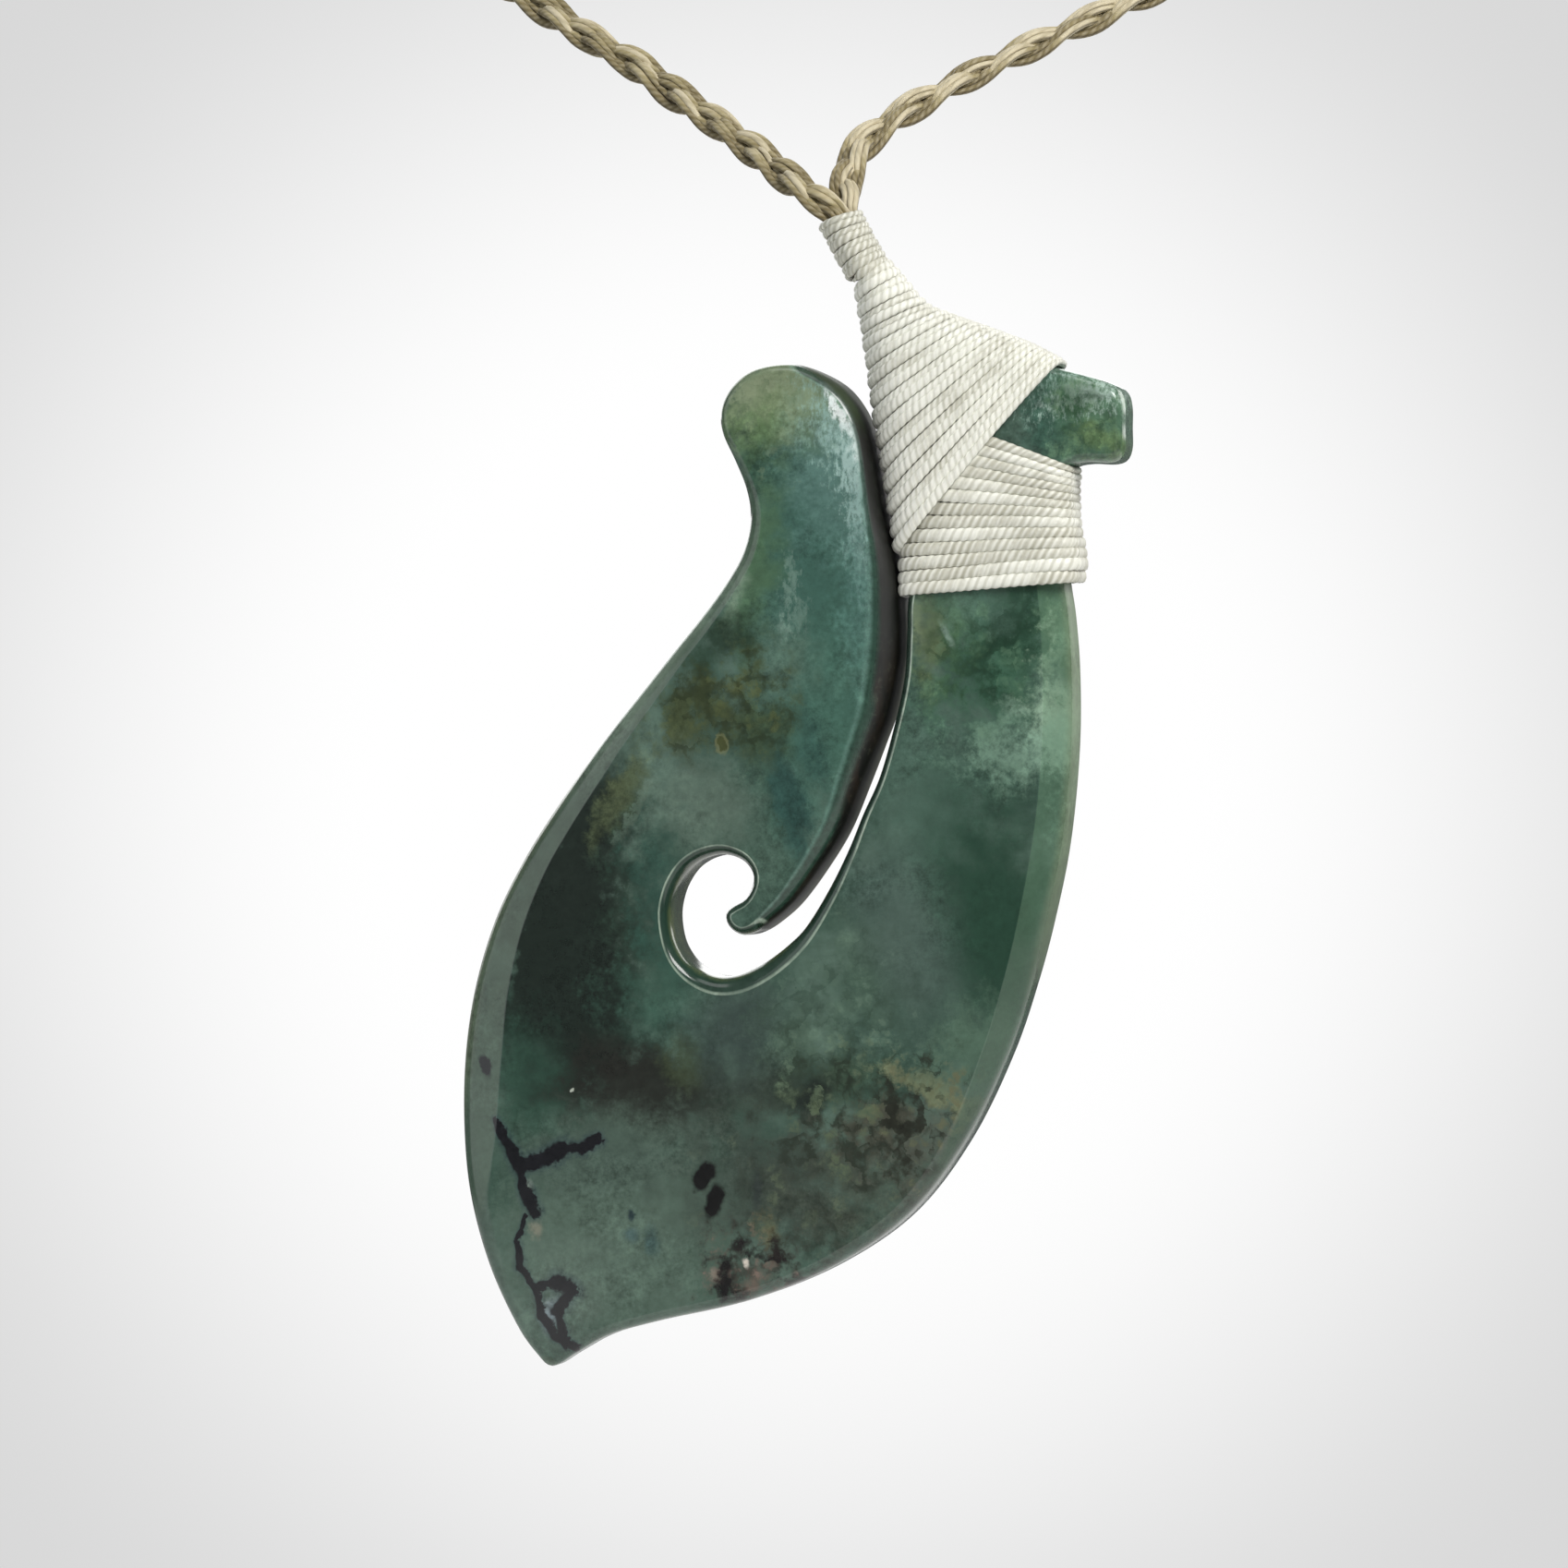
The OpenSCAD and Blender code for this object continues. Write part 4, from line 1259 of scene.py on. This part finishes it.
    def build(self) -> Object:
        """Builds the stone's mesh, in place of its CAD node.

        Returns:
            The piece.
        """
        edge = self._edge()
        n = len(edge)
        rim = [(i, (i + 1) % n) for i in range(n)]
        made = delaunay_2d_cdt([Vector(p) for p in self._flat(edge)], rim, [], 1, self.weld)
        points = np.array([tuple(v) for v in made[0]])
        new_number = {i: k for k, olds in enumerate(made[3]) for i in olds}
        loop = [new_number[i] for i in range(n)]
        depth, looks, share = self._nearest(points, edge)
        rounding, lip, wall = looks.T
        bevel, square = (np.interp(depth, *zip(*curve))
                         for curve in (self.wide_bevel, self.square_edge))
        near = np.clip(1 - depth, 0, 1)
        rounded = 0.5 + 0.5 * np.sqrt(1 - near ** 2)
        half = self.half_t * share * (bevel * (1 - rounding) + rounded * rounding)
        half_back = half + self.half_t * share * (square - rounded) * wall
        skins = [np.stack([points[:, 0], y, points[:, 1]], axis=1) for y in (-half, half_back)]
        count = len(points)
        faces = [list(f) for f in made[2]]
        (ax, az), (bx, bz), (cx, cz) = points[faces[0]]
        if (bx - ax) * (cz - az) < (bz - az) * (cx - ax):
            faces = [f[::-1] for f in faces]
        skin = faces + [[v + count for v in f[::-1]] for f in faces]
        x, z = points[loop].T
        area = (x * np.roll(z, -1) - np.roll(x, -1) * z).sum()
        for i, j in zip(loop, loop[1:] + loop[:1]):
            quad = [i, j, j + count, i + count]
            skin.append(quad if area < 0 else quad[::-1])
        # marks by which the finish paints light and shade along the edges, and roughens the wall
        marks = {"rim": near * (1 - rounding), "lip": near * lip,
                 "wall": np.clip((near - 1 + self.wall_share * wall) / self.wall_soft, 0, 1),
                 "border": near * np.clip(self.border_rise * wall, 0, 1)}
        marks = {key: np.tile(values, 2) for key, values in marks.items()}
        return make_piece("stone_hook", place(np.vstack(skins)), skin, "jade_hook", marks)


# The lashings
@dataclass
class Lashing(Dressed):
    """Thread wound round the neck or the shank, one continuous winding.

    Each row is one turn seen from the front: left x and z, right x and z, depth share, and
    how square the turn is at its left and its right end.
    """

    name: str
    node: str
    turns: float
    rows: tuple[Row, ...]
    half_deep: float
    neck_half: float = 2.7
    thread_t: float = 0.6
    # the half width's share of the gap between two turns, and its least and most
    width_share: float = 0.56
    widths: Row = (0.22, 0.56)
    ply_pitch: float = 0.72
    ply_depth: float = 0.06
    step: float = 0.12
    steps_per_turn: int = 360
    samples: int = 400
    # the thread's ends: how far inside the first and the last row, and how long they taper
    end_inset: float = 0.1
    taper: float = 1.2
    thin_end: float = 0.35
    # it sways in and out, and its painted sheen and shade drift, between knots this far apart
    loose: float = 0.035
    knot_gap: float = 6.0
    shade_spread: float = 0.25
    pairing: float = 0.09
    # past the band the turns lie straight on the head, which is thinner: half its depth, and the
    # share of the way to the right end from which it counts
    right_half: float = 0.0
    right_from: float = 0.2
    # the level of its shade mark, a painted light and shade: the same thread is painted lighter on
    # the fan and darker on the neck whipping
    painted_light_level: float = 0.5
    seed: int = 3

    def _turns(self) -> tuple[np.ndarray, np.ndarray]:
        """The rows between which the thread runs.

        Returns:
            The angle of each step, and the row of the table there.
        """
        table = np.array(self.rows)
        along = np.linspace(0, len(table) - 1, self.samples)
        walk = np.linalg.norm(np.diff(smooth_rows(table, along)[:, :4], axis=0), axis=1)
        walk = np.concatenate([[0], np.cumsum(walk)]) / walk.sum()
        count = int(self.turns * self.steps_per_turn) + 1
        # both ends of the thread lie at the back, a quarter turn before the right end
        angle = np.arange(count) * 2 * math.pi / self.steps_per_turn - math.pi / 2
        inset = self.end_inset / self.turns
        at = inset + (1 - 2 * inset) * np.linspace(0, 1, count)
        at = at + self.pairing / self.turns * np.sin(angle / 2)
        return angle, smooth_rows(table, np.interp(at, walk, along))

    def _winding(self) -> tuple[np.ndarray, np.ndarray]:
        """The winding's path at even lengths.

        Returns:
            Columns x, y, z, the outward direction and the gap to the next turn, and the length
            at each row.
        """
        angle, row = self._turns()
        left, right = (np.stack([row[:, k], np.zeros_like(angle), row[:, k + 1]], axis=1)
                       for k in (0, 2))
        centre, across = (left + right) / 2, unit(right - left)
        full = np.clip(row[:, 4], 0, 1)
        a = np.linalg.norm(right - left, axis=1) / 2 - self.thread_t / 2
        b = self.neck_half + (self.half_deep - self.neck_half) * full - self.thread_t / 2
        c, s = np.cos(angle), -np.sin(angle)
        if self.right_half:
            off = np.clip((c - self.right_from) / (1 - self.right_from), 0, 1) ** 2 * full
            b = b - off * np.maximum(0, b - self.right_half)
        ease = 0.5 - 0.5 * c
        power = row[:, 5] * ease + row[:, 6] * (1 - ease)
        radius = (np.abs(c / a) ** power + np.abs(s / b) ** power) ** (-1 / power)
        back = np.array([0.0, 1.0, 0.0])
        path = centre + across * (radius * c)[:, None] + back * (radius * s)[:, None]
        gx, gy = (np.sign(part) * np.abs(radius * part / size) ** (power - 1) / size
                  for part, size in ((c, a), (s, b)))
        ahead = heading(path)
        out = square_to(ahead, across * gx[:, None] + back * gy[:, None])
        side = np.cross(ahead, out)
        turn = self.steps_per_turn
        gap = np.abs(((path[turn:] - path[:-turn]) * side[:-turn]).sum(axis=1))
        gap = np.concatenate([gap, gap[-turn:]])[:len(angle)]
        return by_length(path, np.hstack([out, gap[:, None]]), self.step)

    def build(self) -> Object:
        """Builds the winding's mesh, in place of its CAD node.

        Returns:
            The piece.
        """
        even, length = self._winding()
        path, gap = even[:, :3], even[:, 6]
        ahead = heading(path)
        out = square_to(ahead, even[:, 3:6])
        rng = np.random.default_rng(self.seed)
        knots = rng.normal(0, 1, int(length[-1] / self.knot_gap) + 4)
        sway = drifting(length, knots, self.knot_gap)
        path = path + out * (sway * self.loose)[:, None]
        ends = np.minimum(length, length[-1] - length)
        taper = np.clip(ends / self.taper, self.thin_end, 1.0)
        half_width = np.clip(gap * self.width_share, *self.widths)
        strand = Strand(path, np.cross(ahead, out), out, half_width * taper,
                        self.thread_t / 2 * taper, length, self.ply_pitch, self.ply_depth)
        points, faces, marks = join_strands([strand])
        # painted light and shade: the winding's level, with blotches that drift between knots
        shade = drifting(marks["lay"][:, 2], knots, self.knot_gap)
        marks["shade"] = np.clip(self.painted_light_level + self.shade_spread * shade, 0, 1)
        return make_piece(self.name, points, faces, self.node, marks)


# The neck cord
@dataclass
class PlaitedCord(Dressed):
    """One half of the neck cord: three plaited bundles, each of several threads.

    Each row of the route is x, y, z and how full the plait is, which is 1 where it is left out.
    """

    name: str
    node: str
    route: tuple[Row, ...]
    seed: int
    width: float = 2.8
    squeezed: float = 2.1
    bundles: int = 3
    plait_length: float = 18.9
    swing: float = 0.68
    lift: float = 0.5
    # a bundle's threads change places where it is nearer than this to the cord's middle
    change_over: float = 0.2
    # each bundle's threads: how far across it and above its middle they lie
    bundle: tuple[Row, ...] = (
        (-0.45, 0.04), (0.0, 0.24), (0.45, 0.04), (0.0, -0.2))
    thread_radius: float = 0.31
    radius_spread: Row = (0.85, 1.15)
    ply_pitch: float = 2.6
    ply_depth: float = 0.03
    corners: int = 8
    samples_per_row: int = 40
    step: float = 0.5
    plane_normal: Row = (0.0, -0.6, 0.8)
    # how much a bundle sways and a thread lies slack, with the number of knots and their gap
    sway: tuple[float, int, float] = (0.06, 40, 8.0)
    slack: tuple[float, int, float] = (0.05, 60, 5.5)
    # a thread's own shade, drawn between two values, and how much lighter it is painted on top and
    # darker below, a painted shade where it passes under the others
    shades: Row = (0.1, 0.9)
    depth_shade_share: float = 0.35

    def _strands(self) -> list[Strand]:
        """Every thread of the plait.

        Returns:
            The threads, bundle by bundle.
        """
        table = np.array([(*row, 1)[:4] for row in self.route])
        samples = len(table) * self.samples_per_row
        dense = smooth_rows(table, np.linspace(0, len(table) - 1, samples))
        even, length = by_length(dense[:, :3], dense[:, 3:], self.step)
        path = even[:, :3]
        squeeze = (self.width - self.squeezed) * np.clip(even[:, 3], 0, 1)
        full = (self.squeezed + squeeze) / self.width
        ahead = heading(path)
        side = unit(np.cross(ahead, np.array(self.plane_normal)))
        up = np.cross(side, ahead)
        rng = np.random.default_rng(self.seed)

        def slow(amount: float, knots: int, gap: float) -> np.ndarray:
            """A random drift along the cord."""
            return amount * drifting(length, rng.normal(0, 1, knots), gap)

        strands = []
        for k in range(self.bundles):
            phase = 2 * math.pi * (length / self.plait_length + k / self.bundles)
            x = self.swing * np.sin(phase) * (1 + slow(*self.sway))
            y = -self.lift * np.sin(2 * phase)
            lean = np.arctan(np.gradient(x, length))
            for across_by, above in self.bundle:
                slack = slow(*self.slack)
                flat = across_by + slack
                bx = x + flat * np.cos(lean)
                by = y + above * np.sign(y) * np.clip(np.abs(y) / self.change_over, 0, 1) + slack
                line = (path + side * (bx * full)[:, None] + up * (by * full)[:, None]
                        - ahead * (flat * np.sin(lean))[:, None])
                tangent = heading(line)
                out = square_to(tangent, up)
                radius = self.thread_radius * full * rng.uniform(*self.radius_spread)
                # painted shade: lighter where the bundle lies on top, darker where it passes under
                depth_shade = self.depth_shade_share * y / self.lift
                shade = np.clip(rng.uniform(*self.shades) + depth_shade, 0, 1)
                strands.append(Strand(line, np.cross(tangent, out), out, radius, radius, length,
                                      self.ply_pitch, self.ply_depth, corners=self.corners,
                                      shade=shade))
        return strands

    def build(self) -> Object:
        """Builds the plait's mesh, in place of its CAD node.

        Returns:
            The piece.
        """
        points, faces, marks = join_strands(self._strands())
        return make_piece(self.name, points, faces, self.node, marks)


# The studio
@dataclass(frozen=True)
class Lamp:
    """One soft area light that looks at the stone.

    Its azimuth is in degrees to the right of the front and its elevation in degrees above level.
    Its distance and its two sides are in metres, and its power is in watts.
    """

    name: str
    azimuth: float
    elevation: float
    distance: float
    sides: Row
    power: float
    colour: Row = (1.0, 1.0, 1.0)

    def build(self, aim: np.ndarray) -> None:
        """Hangs the light so that it looks at a place.

        Args:
            aim: the place, in metres.
        """
        data = bpy.data.lights.new(self.name, "AREA")
        data.shape, (data.size, data.size_y) = "RECTANGLE", self.sides
        data.energy, data.color = self.power, self.colour
        lamp = show(self.name, data)
        look_from(lamp, aim, direction(self.azimuth, self.elevation), self.distance)
        lamp.visible_camera = False


@dataclass
class Studio:
    """The camera, the lights, the pale floor and the backdrop's soft shade."""

    view_angle: float = 10.0
    lens: float = 200.0
    sensor: float = 36.0
    clip: Row = (0.01, 20.0)
    frame_width: float = 127.67
    aim_right: float = -4.436
    aim_up: float = -46.17
    # the floor's measures in metres, and how far its middle lies in front of the nape
    floor_gap: float = 0.068
    floor_radius: float = 0.45
    floor_forward: float = 0.12
    floor_sides: int = 96
    floor_grain: Noise = Noise(60.0, 2.0)
    floor_dark: Row = (0.78, 0.78, 0.77, 1)
    floor_pale: Row = (0.82, 0.82, 0.81, 1)
    floor_roughness: float = 0.9
    lamp_aim: Row = (0, 0, -50)
    # soft light from the front right, a strip from the left, and fill behind
    lamps: tuple[Lamp, ...] = (
        Lamp("key", 46, 38, 0.75, (0.34, 0.34), 4.7, (1.0, 0.985, 0.96)),
        Lamp("left_soft", -58, 8, 0.9, (0.9, 0.9), 2.3, (0.97, 0.99, 1.0)),
        Lamp("right_soft", 38, -6, 0.9, (0.5, 0.7), 0.25, (0.97, 1.0, 0.98)),
        Lamp("overhead", 0, 80, 0.8, (0.5, 0.5), 1.3),
        Lamp("back_left", 207, 22, 0.9, (0.8, 0.6), 3.4),
        Lamp("back_right", 140, 20, 0.9, (0.5, 0.5), 2.4, (1.0, 0.99, 0.97)))
    # the backdrop is white, and greys from one angle off the middle to the next, as sines
    grey_span: Row = (0.045, 0.128)
    corner_grey: float = 0.69
    fill_colour: Row = (0.86, 0.9, 0.92, 1)
    fill_strength: float = 0.14

    def camera(self) -> None:
        """The camera at the photograph's angle."""
        away = direction(self.view_angle)
        right = np.array([-away[1], away[0], 0.0])
        aim = place(right * self.aim_right + np.array([0, 0, self.aim_up]))
        data = bpy.data.cameras.new("camera")
        data.lens, data.sensor_width = self.lens, self.sensor
        data.clip_start, data.clip_end = self.clip
        cam = show("camera", data)
        look_from(cam, aim, away, self.frame_width * MM * self.lens / self.sensor)
        bpy.context.scene.camera = cam

    def lights(self) -> None:
        """Hangs all the lamps."""
        for lamp in self.lamps:
            lamp.build(place(self.lamp_aim))

    def backdrop(self) -> None:
        """White behind the pendant that greys towards the picture's corners, and dim fill."""
        world = bpy.data.worlds.new("studio")
        world.use_nodes = True
        world.node_tree.nodes.clear()
        g = Graph(world.node_tree)
        ahead = tuple(-direction(self.view_angle))
        look = g.put("ShaderNodeTexCoord").outputs["Generated"]
        along = g.vector("DOT_PRODUCT", look, ahead, out=1)
        off = g.vector("LENGTH", g.vector("SUBTRACT", look, g.scaled(ahead, along)), out=1)
        facing = g.math("GREATER_THAN", along, 0.0)
        front = g.times(g.ramp(off, *self.grey_span, 1.0, self.corner_grey), facing)
        grey = g.add(front, g.times(g.less(1.0, facing), self.corner_grey))
        seen = g.put("ShaderNodeBackground", {"Color": g.grey(grey)})
        ins = {"Color": self.fill_colour, "Strength": self.fill_strength}
        fill = g.put("ShaderNodeBackground", ins)
        ray = g.put("ShaderNodeLightPath").outputs["Is Camera Ray"]
        both = g.put("ShaderNodeMixShader", {0: ray, 1: fill.outputs[0], 2: seen.outputs[0]})
        g.put("ShaderNodeOutputWorld", {0: both.outputs[0]})
        bpy.context.scene.world = world
        bpy.context.scene.view_settings.view_transform = "Standard"

    def floor(self) -> None:
        """A plain pale floor below the hanging pendant."""
        turns = [2 * math.pi * i / self.floor_sides for i in range(self.floor_sides)]
        z = cad_box[0].z - self.floor_gap
        ring = [(self.floor_radius * math.cos(t), self.floor_radius * math.sin(t)
                 - self.floor_forward, z) for t in turns]
        mesh = bpy.data.meshes.new("floor")
        mesh.from_pydata(ring, [], [list(range(self.floor_sides))])
        floor = show("floor", mesh)
        material, g, shader = new_material("pale_floor")
        colour = g.mix(g.noise(g.local(), self.floor_grain), self.floor_dark, self.floor_pale)
        g.feed(shader, {"Base Color": colour, "Roughness": self.floor_roughness})
        mesh.materials.append(material)


# The whole pendant
FAN = Lashing(
    "fan_thread", "fan_lashing", 27.0,
    ((1.25, -5.6, 4.35, -3.5, 0, 2, 2), (1.6, -7.6, 5.9, -5.4, 0.12, 2, 2.2),
     (1.9, -9.5, 7.4, -7.1, 0.34, 2, 2.6), (2.3, -12.0, 9.7, -8.1, 0.72, 2.1, 3.4),
     (2.7, -14.7, 12.0, -8.9, 0.92, 2.2, 4.4), (3.1, -17.7, 14.1, -9.7, 1, 2.3, 5),
     (3.7, -21.1, 16.0, -10.4, 1, 2.5, 5), (4.3, -24.4, 17.6, -11.2, 0.97, 2.9, 5),
     (4.9, -27.6, 18.8, -12.0, 0.92, 3.4, 5)),
    half_deep=4.95, right_half=3.75, painted_light_level=0.75, seed=5)
BAND = Lashing(
    "band_thread", "shank_lashing", 13.0,
    ((5.5, -15.0, 19.8, -20.7, 1, 2.5, 5), (5.6, -18.4, 19.7, -22.0, 1, 2.5, 5),
     (5.7, -21.4, 19.7, -23.4, 1, 2.6, 5), (5.6, -24.4, 19.8, -25.0, 1, 2.8, 5),
     (5.1, -27.4, 20.2, -27.1, 1, 3.4, 5), (5.1, -29.4, 20.3, -28.6, 1, 4.0, 5),
     (5.2, -30.8, 19.9, -30.2, 1, 4.4, 5)),
    half_deep=4.23, pairing=0.0, painted_light_level=0.3, seed=8)
NECK = Lashing(
    "neck_thread", "neck_whipping", 8.6,
    ((-1.8, -0.5, 1.9, 0.5, 0, 2, 2), (-0.4, -3.1, 3.0, -1.5, 0, 2, 2),
     (1.0, -5.7, 4.15, -3.6, 0.06, 2, 2)),
    half_deep=4.95, painted_light_level=-0.5, seed=11)

# The last part of the way to the nape, on the right; the left's is its mirror image
PAST_SHOULDER = (
    (81.5, 104, 78), (81.5, 120, 90), (76, 136, 102), (64.5, 151, 113), (48, 163, 122),
    (25.5, 170.5, 128), (0, 173, 130))
# Routes of the cord's centre from inside the whipping to the nape, and how full it is
LEFT = PlaitedCord(
    "plait_left", "neck_cord_left",
    ((2.5, -0.95, -4.5, 0), (1.3, -0.95, -2.4, 0), (0.1, -0.9, -0.1, 0.3), (-1.7, -0.7, 1.4, 0.9),
     (-4.8, 2.8, 3.6), (-9, 8, 6.5), (-14.5, 13.5, 10.2), (-20.5, 19, 14.2), (-27, 24, 18),
     (-38, 33.5, 25), (-50, 45, 34), (-61, 58, 43.5), (-70, 72, 54), (-77, 88, 66),
     *((-x, y, z) for x, y, z in PAST_SHOULDER)), seed=21)
RIGHT = PlaitedCord(
    "plait_right", "neck_cord_right",
    ((2.5, 0.95, -4.5, 0), (1.3, 0.95, -2.4, 0), (0.3, 0.95, -0.1, 0.3), (0.3, 2.1, 1.6, 0.9),
     (-0.1, 4.8, 3.6), (0.6, 8.6, 6.5), (3.9, 13, 9.8), (9.6, 18, 13.5), (17.7, 24, 18),
     (30, 33.5, 25), (43.5, 45, 34), (56.5, 58, 43.5), (67.5, 72, 54), (76, 88, 66),
     *PAST_SHOULDER), seed=34)

PALE_THREAD = ThreadFinish(
    "waxed_pale_thread", light="fbfbf2", middle="f0f0e5", dark="bfbdad", gap="5a5646",
    pitch=1.8, fibres=3.0, roughness=0.5, flank_shade_low=-0.12, flank_shade_high=0.34, valley_share=0.32)
KHAKI_THREAD = ThreadFinish(
    "khaki_plait_thread", light="d8cdb0", middle="a6996f", dark="726540", gap="33230f",
    pitch=2.4, fibres=3.0, roughness=0.65, flank_shade_low=-0.3, flank_shade_high=0.6, relief=0.00004,
    shade_share=0.8, light_share=0.8, fibre_share=0.25, valley_shade="7c6d3e", valley_share=0.3)


def main() -> None:
    """Builds the pendant, its finishes and the studio."""
    logging.basicConfig(level=logging.INFO, format="%(name)s %(message)s")
    studio = Studio()
    studio.camera()
    effects = Effects()
    stone = JadeHook()
    stone.dress(stone.build(), JadeFinish().material(effects))
    pale = PALE_THREAD.material(effects)
    for lashing in (BAND, FAN, NECK):
        lashing.dress(lashing.build(), pale)
    khaki = KHAKI_THREAD.material(effects)
    for cord in (LEFT, RIGHT):
        cord.dress(cord.build(), khaki)
    studio.lights()
    studio.backdrop()
    studio.floor()


if __name__ == "__main__":
    main()
